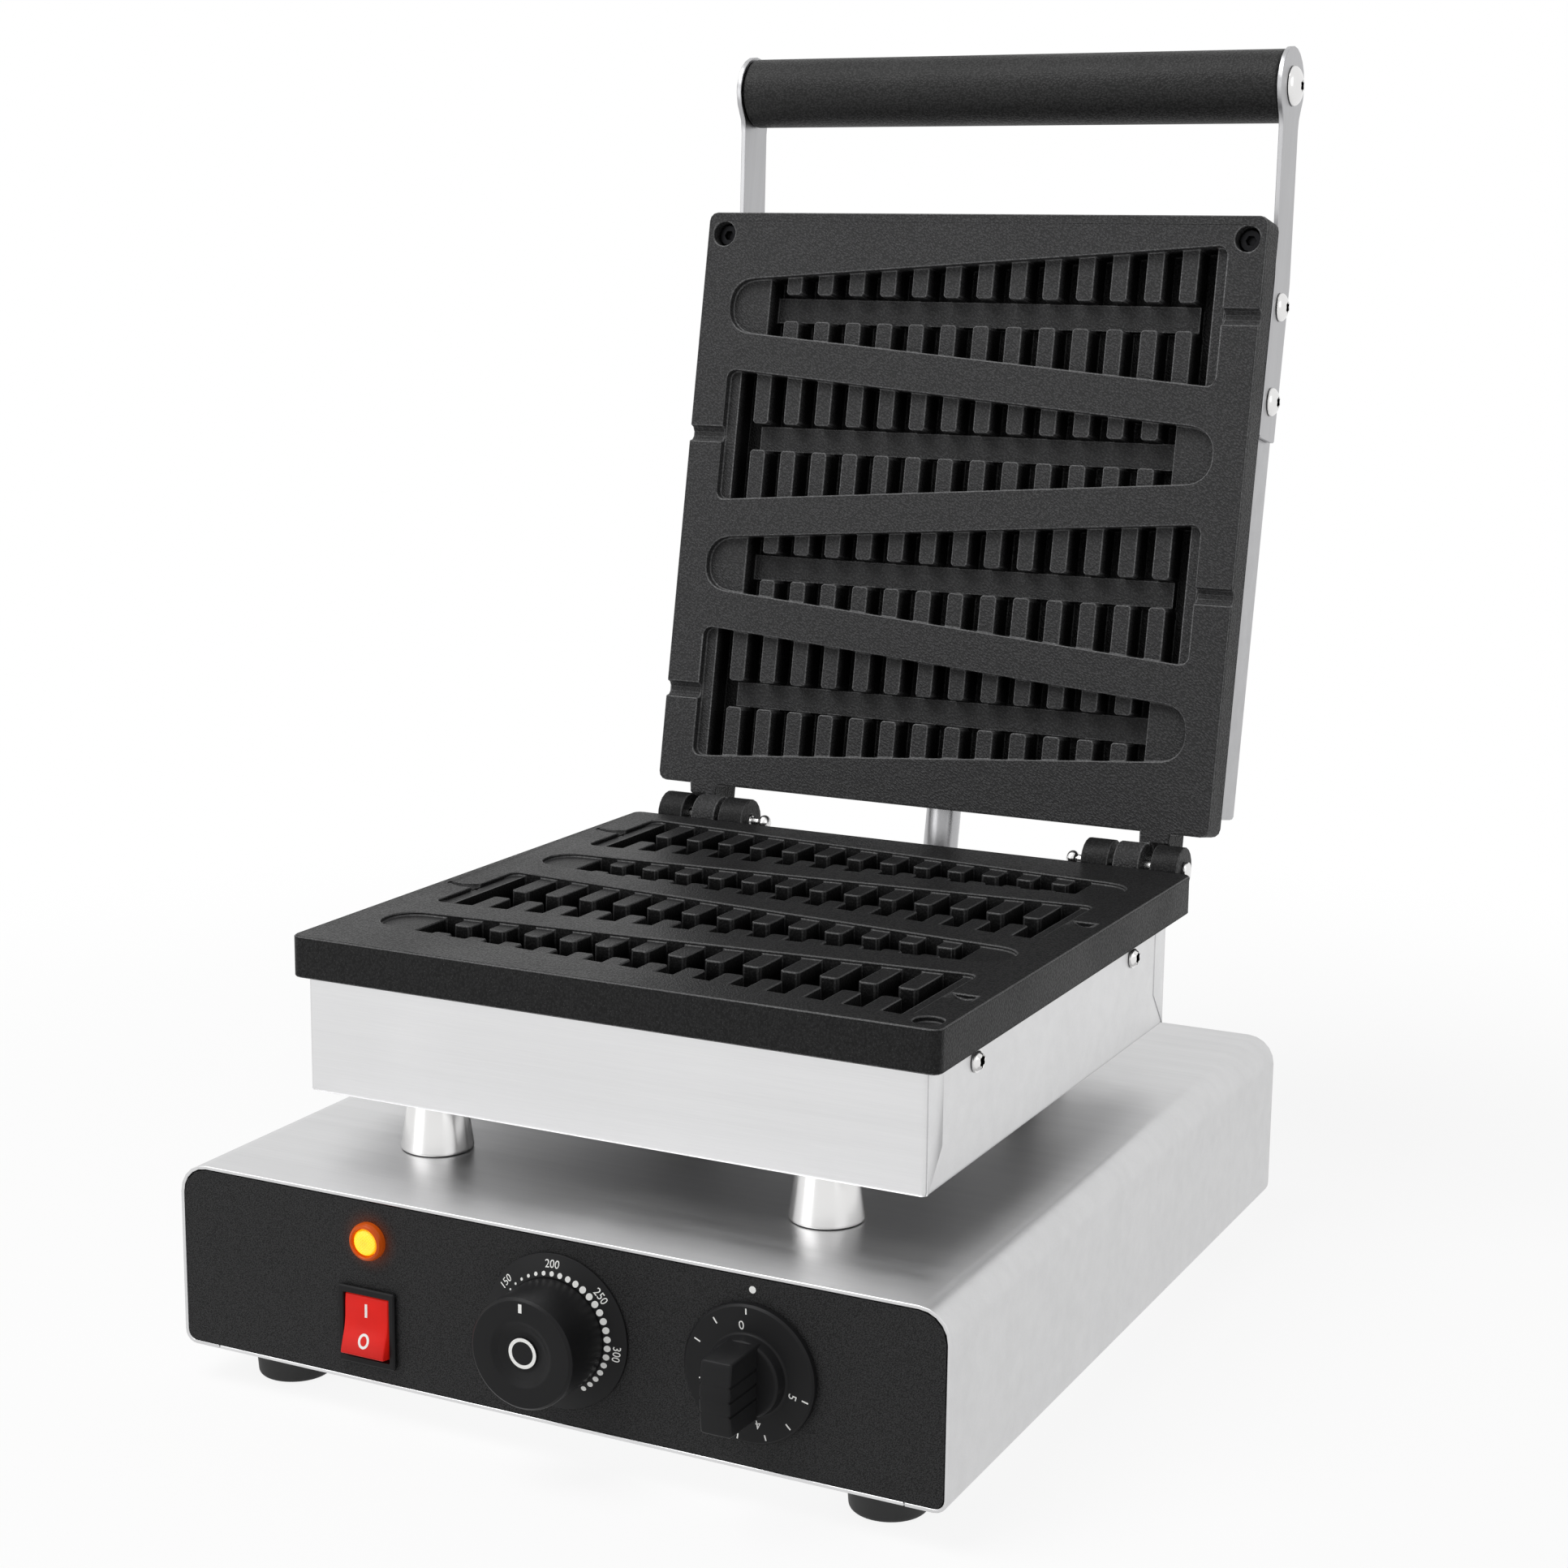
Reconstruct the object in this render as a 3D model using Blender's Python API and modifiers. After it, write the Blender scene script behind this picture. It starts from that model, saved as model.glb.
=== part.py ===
"""Countertop waffle iron for tree shaped waffles on sticks, built piece by piece.

Metres, +Z up. The controls face -Y. The origin is the middle of the footprint, at the height
of the surface that the rubber feet stand on. Pieces are first placed from the front panel's
face (y = 0) and the base cover's lower edge (z = 0); the empty WAFFLE_IRON shifts them all.
The lid's pieces are placed as they lie with the lid closed, under an empty on the hinge axis
that turns them to the open pose.
"""

import math

import bmesh
import bpy
from mathutils import Vector

# General
SHEET = 0.0012
FIT_GAP = 0.0003
OVERRUN = 0.002
MERGE = 0.000001

# Base cover and its plates
COVER_WIDTH = 0.282
COVER_DEPTH = 0.320
COVER_HEIGHT = 0.064
COVER_TOP_RADIUS = 0.0105
COVER_FOOT_RADIUS = 0.0045
COVER_FLANGE = 0.014
FRONT_PANEL_THICKNESS = 0.002

# Feet and the posts between base and lower casing
FOOT_RADIUS = 0.0135
FOOT_TAPER = 0.001
FOOT_HEIGHT = 0.0125
FOOT_EDGE = 0.0015
FOOT_SIDE_INSET = 0.029
FOOT_FRONT_Y = 0.0225
FOOT_REAR_INSET = 0.043
STUD_RADIUS = 0.0025
STUD_LENGTH = 0.006
STUD_CLEARANCE = 0.0004
POST_SIDE_INSET = 0.041
POST_FRONT_INSET = 0.0189
POST_REAR_INSET = 0.0256
POST_BASE_RADIUS = 0.0125
POST_TOP_RADIUS = 0.010
POST_HEIGHT = 0.0178

# Heating plates
PLATE_WIDTH = 0.240
PLATE_LENGTH = 0.237
PLATE_THICKNESS = 0.0145
PLATE_CORNER = 0.0035
PLATE_EDGE = 0.0014
PLATE_BODY_DEPTH = 0.0172
PLATE_FRONT_Y = 0.0356
PLATE_GAP = 0.0006

# Casings behind the plates
CASING_SIDE_INSET = 0.005
CASING_DEPTH = 0.0407
UPPER_CASING_DEPTH = 0.033
CASING_FRONT_INSET = 0.003
LOWER_CASING_BACK_INSET = 0.0135
UPPER_CASING_BACK_INSET = 0.0065
CASING_EDGE = 0.0015
CASING_SCREW_DROP = 0.0064
CASING_SCREW_FRONT_INSET = 0.041
CASING_SCREW_REAR_INSET = 0.0505
PAN_SCREW_RADIUS = 0.004
PAN_SCREW_HEIGHT = 0.0022
PAN_SCREW_SHANK = 0.0015
LUG_WIDTH = 0.010
LUG_LENGTH = 0.012
LUG_DROP = 0.0115

# Tree shaped cavities: the insets of base and tip from the plate's sides, then half widths
TREE_COUNT = 4
TREE_END_INSET = 0.0384
TREE_BASE_INSET = 0.015
TREE_TIP_INSET = 0.0133
TREE_SHOULDER_LENGTH = 0.0102
TREE_BASE_HALF = 0.027
TREE_TIP_HALF = 0.0112
TREE_CORNER = 0.0035
TREE_TIP_ROUND = 0.0098
RECESS_DEPTH = 0.0036
SLOT_DEPTH = 0.0155
CHANNEL_DEPTH = 0.012
CHANNEL_HALF = 0.0054
CHANNEL_FLOOR_HALF = 0.0053
TOOTH_WIDTH = 0.0069
TOOTH_ROOT_WIDTH = 0.0077
TOOTH_CHAMFER = 0.0009
SLOT_WIDTH = 0.00718
TIP_LAND = 0.0166

# Stick grooves, plate screws and the matching dimple
GROOVE_WIDTH = 0.0062
GROOVE_DEPTH = 0.0034
SCOOP_INSET = 0.004
CRESCENT_FROM = 0.001
CRESCENT_LENGTH = 0.0096
CRESCENT_DEPTH = 0.002
PLATE_SCREW_INSET = 0.0076
PLATE_SCREW_DROP = 0.0088
COUNTERBORE_RADIUS = 0.005
COUNTERBORE_DEPTH = 0.009
PLATE_SCREW_HEAD_RADIUS = 0.00425
PLATE_SCREW_HEAD_HEIGHT = 0.0045
SOCKET_WIDTH = 0.004
SOCKET_DEPTH = 0.0025
DIMPLE_DEPTH = 0.002

# Hinge: insets are from the plate's side to a knuckle's inner end
HINGE_SETBACK = 0.0132
HINGE_DROP = 0.002
BARREL_RADIUS = 0.009
OUTER_KNUCKLE_INSET = 0.0185
LID_KNUCKLE_INSET = 0.0335
INNER_KNUCKLE_INSET = 0.0465
OUTER_KNUCKLE_LENGTH = 0.011
LID_KNUCKLE_LENGTH = 0.0105
INNER_KNUCKLE_LENGTH = 0.011
LID_LUG_INSET = 0.0275
LID_LUG_WIDTH = 0.012
LID_LUG_HEIGHT = 0.018
LUG_BARREL_CLEARANCE = 0.0008
NECK_DROP = 0.0015
PIN_RADIUS = 0.0025
PIN_CLEARANCE = 0.0003
PIN_HEAD_RADIUS = 0.0036
PIN_HEAD_HEIGHT = 0.0015
PIN_NECK_RADIUS = 0.0018
PIN_NECK_LENGTH = 0.0035
PIN_DOME_RADIUS = 0.0032
PIN_DOME_LENGTH = 0.005
LID_OPEN_DEGREES = 100.64

# Handle: drops are from the plate's front edge back towards the hinge, backs behind its face
ARM_THICKNESS = 0.002
ARM_WIDTH = 0.0195
ARM_FOOT_DROP = 0.081
ARM_FOOT_BACK = 0.034
ARM_BEND_DROP = 0.019
ARM_BEND_BACK = 0.0345
FINGER_GAP = 0.0405
ARM_EYE_BACK = 0.023
ARM_EYE_RADIUS = 0.015
ARM_NECK_RADIUS = 0.012
ARM_BEND_RADIUS = 0.030
ARM_CORNER = 0.0012
ARM_SCREW_LOW_DROP = 0.066
ARM_SCREW_HIGH_DROP = 0.029
ARM_SCREW_RADIUS = 0.00575
ARM_SCREW_HEIGHT = 0.0030
ARM_SCREW_SHANK = 0.002
ARM_STRIP_THICKNESS = 0.004
ARM_STRIP_WIDTH = 0.014
ARM_STRIP_MARGIN = 0.009
GRIP_RADIUS = 0.014
GRIP_EDGE = 0.0015
GRIP_BORE_RADIUS = 0.0056
ROD_RADIUS = 0.005
END_SCREW_RADIUS = 0.00775
END_SCREW_HEIGHT = 0.0036
END_SCREW_SHANK = 0.003
END_SCREW_REACH = 0.014
TORX_RADIUS = 0.0019
TORX_DEPTH = 0.0014

# Conduit on the lid, and the gland on the base that its cable would enter
CONDUIT_RADIUS = 0.007
CONDUIT_WALL = 0.001
CONDUIT_LENGTH = 0.036
CONDUIT_BACK = 0.0245
CONDUIT_NUT_RADIUS = 0.0092
CONDUIT_NUT_HEIGHT = 0.004
GLAND_FLANGE_RADIUS = 0.011
GLAND_BODY_RADIUS = 0.0085
GLAND_THREAD_RADIUS = 0.0075
GLAND_BORE_RADIUS = 0.0045
GLAND_FLANGE_HEIGHT = 0.003
GLAND_BODY_HEIGHT = 0.014
GLAND_THREAD_LENGTH = 0.009
LID_GLAND_REAR_INSET = 0.019
CABLE_GLAND_SIDE_INSET = 0.051

# Heating elements
HEATER_RADIUS = 0.0035
HEATER_RUNS = 6
HEATER_SIDE_INSET = 0.045
HEATER_END_INSET = 0.0365
HEATER_BEND_STEPS = 4

# Pilot lamp
LAMP_X = -0.0644
LAMP_BEZEL_RADIUS = 0.0069
LAMP_BEZEL_HEIGHT = 0.0036
LAMP_LENS_RADIUS = 0.0045
LAMP_LENS_DOME = 0.0005
LAMP_LENS_DEPTH = 0.003
LAMP_SEAT_DEPTH = 0.0038
LAMP_BARREL_RADIUS = 0.0052
LAMP_BARREL_LENGTH = 0.007
LAMP_BODY_RADIUS = 0.0062
LAMP_BODY_LENGTH = 0.018

# Mains switch
SWITCH_X = -0.0652
SWITCH_BEZEL_WIDTH = 0.022
SWITCH_BEZEL_HEIGHT = 0.0265
SWITCH_BEZEL_PROUD = 0.0016
SWITCH_BEZEL_EDGE = 0.0006
SWITCH_BODY_WIDTH = 0.0196
SWITCH_BODY_HEIGHT = 0.0242
SWITCH_BODY_DEPTH = 0.022
ROCKER_WIDTH = 0.0168
ROCKER_HEIGHT = 0.0200
ROCKER_WELL_DEPTH = 0.0095
ROCKER_CLEARANCE = 0.0005
ROCKER_END_CLEARANCE = 0.0009
ROCKER_RIM = 0.0031
ROCKER_DISH = 0.0010
ROCKER_BACK = 0.003
ROCKER_PIVOT_DEPTH = 0.001
ROCKER_TILT_DEGREES = 10
ROCKER_TRUNNION_RADIUS = 0.0012
ROCKER_TRUNNION_REACH = 0.0008

# Thermostat
THERMOSTAT_X = 0.0068
DIAL_RING_RADIUS = 0.0256
DIAL_RING_TOP_RADIUS = 0.0186
DIAL_RING_HEIGHT = 0.0030
DIAL_RING_LIP = 0.0006
THERMOSTAT_KNOB_RADIUS = 0.0182
THERMOSTAT_KNOB_FACE = 0.0222
KNOB_EDGE = 0.0016
KNOB_DISH_RADIUS = 0.0088
KNOB_DISH_DEPTH = 0.0009
KNOB_BOSS_RADIUS = 0.0051
SHAFT_RADIUS = 0.003
SHAFT_CLEARANCE = 0.0004
SHAFT_SEAT = 0.012
THERMOSTAT_BODY_WIDTH = 0.042
THERMOSTAT_BODY_DEPTH = 0.024
BUSH_LENGTH = 0.010

# Timer
TIMER_X = 0.0756
TIMER_DISC_RADIUS = 0.0223
TIMER_DISC_THICKNESS = 0.0026
TIMER_HUB_RADIUS = 0.0134
TIMER_HUB_TOP_RADIUS = 0.0124
TIMER_HUB_HEIGHT = 0.0046
TIMER_GRIP_WIDTH = 0.0104
TIMER_GRIP_HEIGHT = 0.0234
TIMER_GRIP_FACE = 0.0235
TIMER_GRIP_CROWN = 0.0012
TIMER_GROOVE_RADIUS = 0.0007
TIMER_GROOVE_COUNT = 3
TIMER_GROOVE_PITCH = 0.0034
TIMER_BODY_RADIUS = 0.022
TIMER_BODY_DEPTH = 0.026

# Terminal block inside the base
TERMINAL_WIDTH = 0.060
TERMINAL_DEPTH = 0.022
TERMINAL_HEIGHT = 0.018
TERMINAL_WAYS = 5
TERMINAL_BARRIER = 0.0025
TERMINAL_STEP = 0.007
TERMINAL_REAR_INSET = 0.030

# Facets
FINE_SEGMENTS = 32
ROUND_SEGMENTS = 20
SMALL_SEGMENTS = 12
CORNER_STEPS = 3
BEND_STEPS = 5
DOME_STEPS = 2
EYE_STEPS = 16
TIMER_GROOVE_SIDES = 8
DRIVE_SIDES = 6
NUT_SIDES = 6
SHARP_DEGREES = 35

# Shares of a length, and which side of its surface a sheet grows to
LAMP_HEIGHT_SHARE = 0.775
SWITCH_HEIGHT_SHARE = 0.3125
DIAL_HEIGHT_SHARE = 0.50625
GLAND_HEIGHT_SHARE = 0.46875
DISH_SHARES = (-1, -0.66, -0.33, 0, 0.33, 0.66, 1)
CROWN_SHARES = (1, 0.5, 0, -0.5, -1)
TIP_TAPER_SHARE = 0.12
FACE_TEST_SHARE = 0.5
ROUND_PROFILE_SHARE = 0.5
SHEET_SIDE = -1

# Worked out from the driving sizes
LAMP_Z = COVER_HEIGHT * LAMP_HEIGHT_SHARE
SWITCH_Z = COVER_HEIGHT * SWITCH_HEIGHT_SHARE
THERMOSTAT_Z = COVER_HEIGHT * DIAL_HEIGHT_SHARE
TIMER_Z = COVER_HEIGHT * DIAL_HEIGHT_SHARE
CABLE_GLAND_X = COVER_WIDTH / 2 - CABLE_GLAND_SIDE_INSET
CABLE_GLAND_Z = COVER_HEIGHT * GLAND_HEIGHT_SHARE
POST_FOOT_Z = COVER_HEIGHT
LOWER_CASING_Z = COVER_HEIGHT + POST_HEIGHT
PLATE_BOTTOM_Z = LOWER_CASING_Z + CASING_DEPTH
PLATE_TOP_Z = PLATE_BOTTOM_Z + PLATE_THICKNESS
PLATE_BACK_Y = PLATE_FRONT_Y + PLATE_LENGTH
HINGE_Y = PLATE_BACK_Y + HINGE_SETBACK
HINGE_Z = PLATE_TOP_Z - HINGE_DROP
LID_FACE = HINGE_DROP + PLATE_GAP
OPEN_TURN = math.radians(LID_OPEN_DEGREES)
PLATE_HALF = PLATE_WIDTH / 2
CASING_HALF = PLATE_HALF - CASING_SIDE_INSET
CASING_WIDTH = 2 * CASING_HALF
LOWER_CASING_BACK_Y = PLATE_BACK_Y - LOWER_CASING_BACK_INSET
ARM_INNER_X = CASING_HALF + FIT_GAP
ARM_OUTER_X = ARM_INNER_X + ARM_THICKNESS
FOOT_X = COVER_WIDTH / 2 - FOOT_SIDE_INSET
FOOT_REAR_Y = COVER_DEPTH - FOOT_REAR_INSET
POST_X = CASING_HALF - POST_SIDE_INSET
POST_FRONT_Y = PLATE_FRONT_Y + POST_FRONT_INSET
POST_REAR_Y = LOWER_CASING_BACK_Y - POST_REAR_INSET

# Trees: lengths along the tree from its middle, base positive
TREE_BASE = PLATE_HALF - TREE_BASE_INSET
TREE_TIP = PLATE_HALF - TREE_TIP_INSET
TREE_SHOULDER = TREE_TIP - TREE_SHOULDER_LENGTH
TREE_SPACING = (PLATE_LENGTH - 2 * TREE_END_INSET) / (TREE_COUNT - 1)
TOOTH_PITCH = TOOTH_WIDTH + SLOT_WIDTH
TOOTH_COUNT = int((TREE_BASE + TREE_TIP - TIP_LAND - SLOT_WIDTH) / TOOTH_PITCH)

# Hinge stations are distances from the middle along X, the arm's are up the lid from the hinge edge
OUTER_KNUCKLE_START = PLATE_HALF - OUTER_KNUCKLE_INSET
LID_KNUCKLE_START = PLATE_HALF - LID_KNUCKLE_INSET
INNER_KNUCKLE_START = PLATE_HALF - INNER_KNUCKLE_INSET
OUTER_KNUCKLE_END = OUTER_KNUCKLE_START + OUTER_KNUCKLE_LENGTH
LID_LUG_START = PLATE_HALF - LID_LUG_INSET
ARM_FOOT_UP = PLATE_LENGTH - ARM_FOOT_DROP
ARM_BEND_UP = PLATE_LENGTH - ARM_BEND_DROP
ARM_EYE_UP = PLATE_LENGTH + FINGER_GAP + GRIP_RADIUS
ARM_SCREW_LOW_UP = PLATE_LENGTH - ARM_SCREW_LOW_DROP
ARM_SCREW_HIGH_UP = PLATE_LENGTH - ARM_SCREW_HIGH_DROP
HEATER_PITCH = (PLATE_WIDTH - 2 * HEATER_SIDE_INSET) / (HEATER_RUNS - 1)
HEATER_HALF_LENGTH = PLATE_LENGTH / 2 - HEATER_END_INSET


def lid_point(up, back):
    """(y, z) of a point of the open lid, from its place up the lid and behind the face."""
    closed_y = -(HINGE_SETBACK + up)
    closed_z = LID_FACE + back
    y = HINGE_Y + closed_y * math.cos(OPEN_TURN) + closed_z * math.sin(OPEN_TURN)
    z = HINGE_Z - closed_y * math.sin(OPEN_TURN) + closed_z * math.cos(OPEN_TURN)
    return y, z


FRONT_Y = -max(THERMOSTAT_KNOB_FACE, TIMER_GRIP_FACE + TIMER_GRIP_CROWN)
REAR_Y = max(lid_point(ARM_EYE_UP, ARM_EYE_BACK)[0] + ARM_EYE_RADIUS, COVER_DEPTH)
MIDDLE_Y = (FRONT_Y + REAR_Y) / 2
STAND_HEIGHT = FOOT_HEIGHT + FIT_GAP

# Turns that point a piece's own Z axis: at the viewer, along +X or -X, or that lay an outline
# drawn in X and Y into another plane
FACE_FRONT = (math.pi / 2, 0, 0)
FACE_REAR = (-math.pi / 2, 0, 0)
FACE_UP = (0, 0, 0)
FACE_DOWN = (math.pi, 0, 0)
FACE_RIGHT = (0, math.pi / 2, 0)
FACE_LEFT = (0, -math.pi / 2, 0)
OUTLINE_XZ = (math.pi / 2, 0, 0)
OUTLINE_YZ = (math.pi / 2, 0, math.pi / 2)

FINISHES = {
    "steel": ((0.62, 0.62, 0.63), 0.32, 1.0),
    "bright_steel": ((0.80, 0.80, 0.81), 0.15, 1.0),
    "cast": ((0.018, 0.018, 0.019), 0.55, 0.0),
    "panel": ((0.022, 0.022, 0.024), 0.38, 0.0),
    "black_plastic": ((0.016, 0.016, 0.017), 0.42, 0.0),
    "grip": ((0.014, 0.014, 0.014), 0.6, 0.0),
    "rubber": ((0.02, 0.02, 0.02), 0.8, 0.0),
    "red_rocker": ((0.70, 0.015, 0.01), 0.3, 0.0),
    "amber": ((0.95, 0.62, 0.02), 0.25, 0.0),
    "orange": ((0.80, 0.13, 0.01), 0.2, 0.0),
    "ivory_plastic": ((0.75, 0.73, 0.66), 0.5, 0.0),
    "element": ((0.20, 0.19, 0.18), 0.45, 1.0),
}


# Scene helpers

def clear_scene():
    for obj in list(bpy.data.objects):
        bpy.data.objects.remove(obj)


def new_collection(name):
    collection = bpy.data.collections.new(name)
    bpy.context.scene.collection.children.link(collection)
    return collection


def new_empty(name, location, turn=FACE_UP, parent=None):
    empty = bpy.data.objects.new(name, None)
    PARTS.objects.link(empty)
    empty.location = location
    empty.rotation_euler = turn
    empty.parent = parent
    return empty


def material_of(finish):
    """The shared material of a finish, made when it is first asked for."""
    found = bpy.data.materials.get(finish)
    if found:
        return found
    colour, roughness, metallic = FINISHES[finish]
    made = bpy.data.materials.new(finish)
    made.use_nodes = True
    shader = made.node_tree.nodes["Principled BSDF"]
    shader.inputs["Base Color"].default_value = (*colour, 1)
    shader.inputs["Roughness"].default_value = roughness
    shader.inputs["Metallic"].default_value = metallic
    made.diffuse_color = (*colour, 1)
    return made


def place(name, mesh, location=(0, 0, 0), turn=FACE_UP, parent=None):
    obj = bpy.data.objects.new(name, mesh)
    PARTS.objects.link(obj)
    obj.location = location
    obj.rotation_euler = turn
    obj.parent = parent
    return obj


def finish_as(obj, finish):
    obj.data.materials.clear()
    obj.data.materials.append(material_of(finish))
    return obj


def baked(obj):
    """Replaces an object's curve or modifiers by the mesh that they give, with its caps welded."""
    bpy.context.view_layer.update()
    evaluated = obj.evaluated_get(bpy.context.evaluated_depsgraph_get())
    mesh = bpy.data.meshes.new_from_object(evaluated)
    shape = bmesh.new()
    shape.from_mesh(mesh)
    bmesh.ops.remove_doubles(shape, verts=shape.verts, dist=MERGE)
    bmesh.ops.recalc_face_normals(shape, faces=shape.faces)
    shape.to_mesh(mesh)
    shape.free()
    mesh.shade_smooth()
    mesh.set_sharp_from_angle(angle=math.radians(SHARP_DEGREES))
    name = obj.name
    location, turn, parent = obj.location.copy(), obj.rotation_euler.copy(), obj.parent
    bpy.data.objects.remove(obj)
    return place(name, mesh, location, turn, parent)


# Shapes

def block(name, low, high, parent, edge=0, edge_steps=2):
    """A box between two opposite corners, its origin at its middle."""
    low, high = Vector(low), Vector(high)
    mesh = bpy.data.meshes.new(name)
    shape = bmesh.new()
    bmesh.ops.create_cube(shape, size=1)
    bmesh.ops.scale(shape, vec=high - low, verts=shape.verts)
    shape.to_mesh(mesh)
    shape.free()
    obj = place(name, mesh, (low + high) / 2, parent=parent)
    if edge:
        bevel = obj.modifiers.new("edges", "BEVEL")
        bevel.width = edge
        bevel.segments = edge_steps
    return obj


def arc(centre_x, centre_y, radius, start, end, steps):
    """Points along an arc, from the start angle to the end angle in degrees."""
    angles = [math.radians(start + (end - start) * step / steps) for step in range(steps + 1)]
    return [(centre_x + radius * math.cos(a), centre_y + radius * math.sin(a)) for a in angles]


def rounded(corners, steps=CORNER_STEPS, closed=True):
    """An outline through corners given as (x, y, radius), each rounded by its radius."""
    outline = []
    for index, (x, y, radius) in enumerate(corners):
        at_end = not closed and index in (0, len(corners) - 1)
        if radius == 0 or at_end:
            outline.append((x, y))
            continue
        corner = Vector((x, y))
        before = (corner - Vector(corners[index - 1][:2])).normalized()
        after = (Vector(corners[(index + 1) % len(corners)][:2]) - corner).normalized()
        turn = math.atan2(before.cross(after), before.dot(after))
        side = Vector((-before.y, before.x)) * math.copysign(radius, turn)
        start = corner - before * radius * math.tan(abs(turn) / 2)
        centre = start + side
        first = math.degrees(math.atan2(-side.y, -side.x))
        outline += arc(*centre, radius, first, first + math.degrees(turn), steps)
    return outline


def rectangle(low_x, high_x, low_y, high_y, bottom_radius, top_radius):
    return rounded([
        (low_x, low_y, bottom_radius),
        (high_x, low_y, bottom_radius),
        (high_x, high_y, top_radius),
        (low_x, high_y, top_radius),
    ])


def slab(name, outline, thickness, location, parent, turn=FACE_UP):
    """An outline made thick by half its thickness each way along its own Z axis."""
    curve = bpy.data.curves.new(name, "CURVE")
    curve.dimensions = "2D"
    curve.fill_mode = "BOTH"
    curve.extrude = thickness / 2
    spline = curve.splines.new("POLY")
    spline.points.add(len(outline) - 1)
    for point, (x, y) in zip(spline.points, outline):
        point.co = (x, y, 0, 1)
    spline.use_cyclic_u = True
    return baked(place(name, curve, location, turn, parent))


def turned(name, profile, location, turn, parent, segments=ROUND_SEGMENTS, ring=False):
    """A (radius, height) profile, run from its top down the outer side, turned about Z."""
    mesh = bpy.data.meshes.new(name)
    edges = [(i, i + 1) for i in range(len(profile) - 1)]
    if ring:
        edges.append((len(profile) - 1, 0))
    mesh.from_pydata([(radius, 0, height) for radius, height in profile], edges, [])
    obj = place(name, mesh, location, turn, parent)
    screw = obj.modifiers.new("turn", "SCREW")
    screw.steps = segments
    screw.render_steps = segments
    screw.use_merge_vertices = True
    screw.merge_threshold = MERGE
    return baked(obj)


def cylinder(name, radius, bottom, top, location, turn, parent, segments=SMALL_SEGMENTS):
    """A plain cylinder between two heights along its own Z axis."""
    profile = [(0, top), (radius, top), (radius, bottom), (0, bottom)]
    return turned(name, profile, location, turn, parent, segments)


def as_helper(obj):
    """Moves a cutter or an addition out of the parts, where only Booleans see it."""
    PARTS.objects.unlink(obj)
    CUTTERS.objects.link(obj)
    obj.hide_render = True
    obj.display_type = "WIRE"
    return obj


def combine(target, other, operation):
    boolean = target.modifiers.new(other.name, "BOOLEAN")
    boolean.operation = operation
    boolean.object = other
    return target


def cut(target, *cutters):
    for cutter in cutters:
        combine(target, as_helper(cutter), "DIFFERENCE")
    return target


def join(target, *additions):
    for addition in additions:
        combine(target, as_helper(addition), "UNION")
    return target


def mirrored_sides():
    """The two sides of the machine: the sign of X and the word for it."""
    return (-1, "left"), (1, "right")


# Base

def cover_outline(inset, bottom):
    """The space inside the cover, shrunk by the inset, from the given height up."""
    half = COVER_WIDTH / 2 - inset
    return rectangle(
        -half, half, bottom, COVER_HEIGHT - inset,
        max(COVER_FOOT_RADIUS - inset, 0), max(COVER_TOP_RADIUS - inset, 0),
    )


def base_cover():
    half = COVER_WIDTH / 2
    profile = rounded([
        (COVER_FLANGE - half, 0, 0),
        (-half, 0, COVER_FOOT_RADIUS),
        (-half, COVER_HEIGHT, COVER_TOP_RADIUS),
        (half, COVER_HEIGHT, COVER_TOP_RADIUS),
        (half, 0, COVER_FOOT_RADIUS),
        (half - COVER_FLANGE, 0, 0),
    ], BEND_STEPS, closed=False)
    mesh = bpy.data.meshes.new("base_cover")
    shape = bmesh.new()
    front = [shape.verts.new((x, 0, z)) for x, z in profile]
    edges = [shape.edges.new(pair) for pair in zip(front, front[1:])]
    grown = bmesh.ops.extrude_edge_only(shape, edges=edges)["geom"]
    rear = [item for item in grown if isinstance(item, bmesh.types.BMVert)]
    bmesh.ops.translate(shape, vec=(0, COVER_DEPTH, 0), verts=rear)
    bmesh.ops.recalc_face_normals(shape, faces=shape.faces)
    shape.to_mesh(mesh)
    shape.free()
    cover = place("base_cover", mesh, parent=BASE)
    shell = cover.modifiers.new("sheet", "SOLIDIFY")
    shell.thickness = SHEET
    shell.offset = SHEET_SIDE
    shell.use_even_offset = True
    cover = baked(cover)
    for index, (x, y) in enumerate(post_places()):
        cut(cover, stud_hole(f"cover_post_hole_{index}", (x, y, COVER_HEIGHT)))
    gland_y = COVER_DEPTH - LID_GLAND_REAR_INSET
    cut(cover, gland_hole("cover_gland_hole", (0, gland_y, COVER_HEIGHT), FACE_UP))
    return finish_as(cover, "steel")


def stud_hole(name, location):
    reach = SHEET + OVERRUN
    radius = STUD_RADIUS + STUD_CLEARANCE
    return cylinder(name, radius, -reach, reach, location, FACE_UP, BASE)


def gland_hole(name, location, turn):
    reach = SHEET + OVERRUN
    radius = GLAND_THREAD_RADIUS + FIT_GAP
    return cylinder(name, radius, -reach, reach, location, turn, BASE, ROUND_SEGMENTS)


def post_places():
    return [(side * POST_X, y) for y in (POST_FRONT_Y, POST_REAR_Y) for side in (-1, 1)]


def foot_places():
    return [(side * FOOT_X, y) for y in (FOOT_FRONT_Y, FOOT_REAR_Y) for side in (-1, 1)]


def corner_names():
    return ["front_left", "front_right", "rear_left", "rear_right"]


def bottom_plate():
    half = COVER_WIDTH / 2 - COVER_FLANGE - FIT_GAP
    plate = block("bottom_plate", (-half, 0, 0), (half, COVER_DEPTH, SHEET), BASE)
    for index, (x, y) in enumerate(foot_places()):
        cut(plate, stud_hole(f"bottom_foot_hole_{index}", (x, y, 0)))
    return finish_as(plate, "steel")


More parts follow.
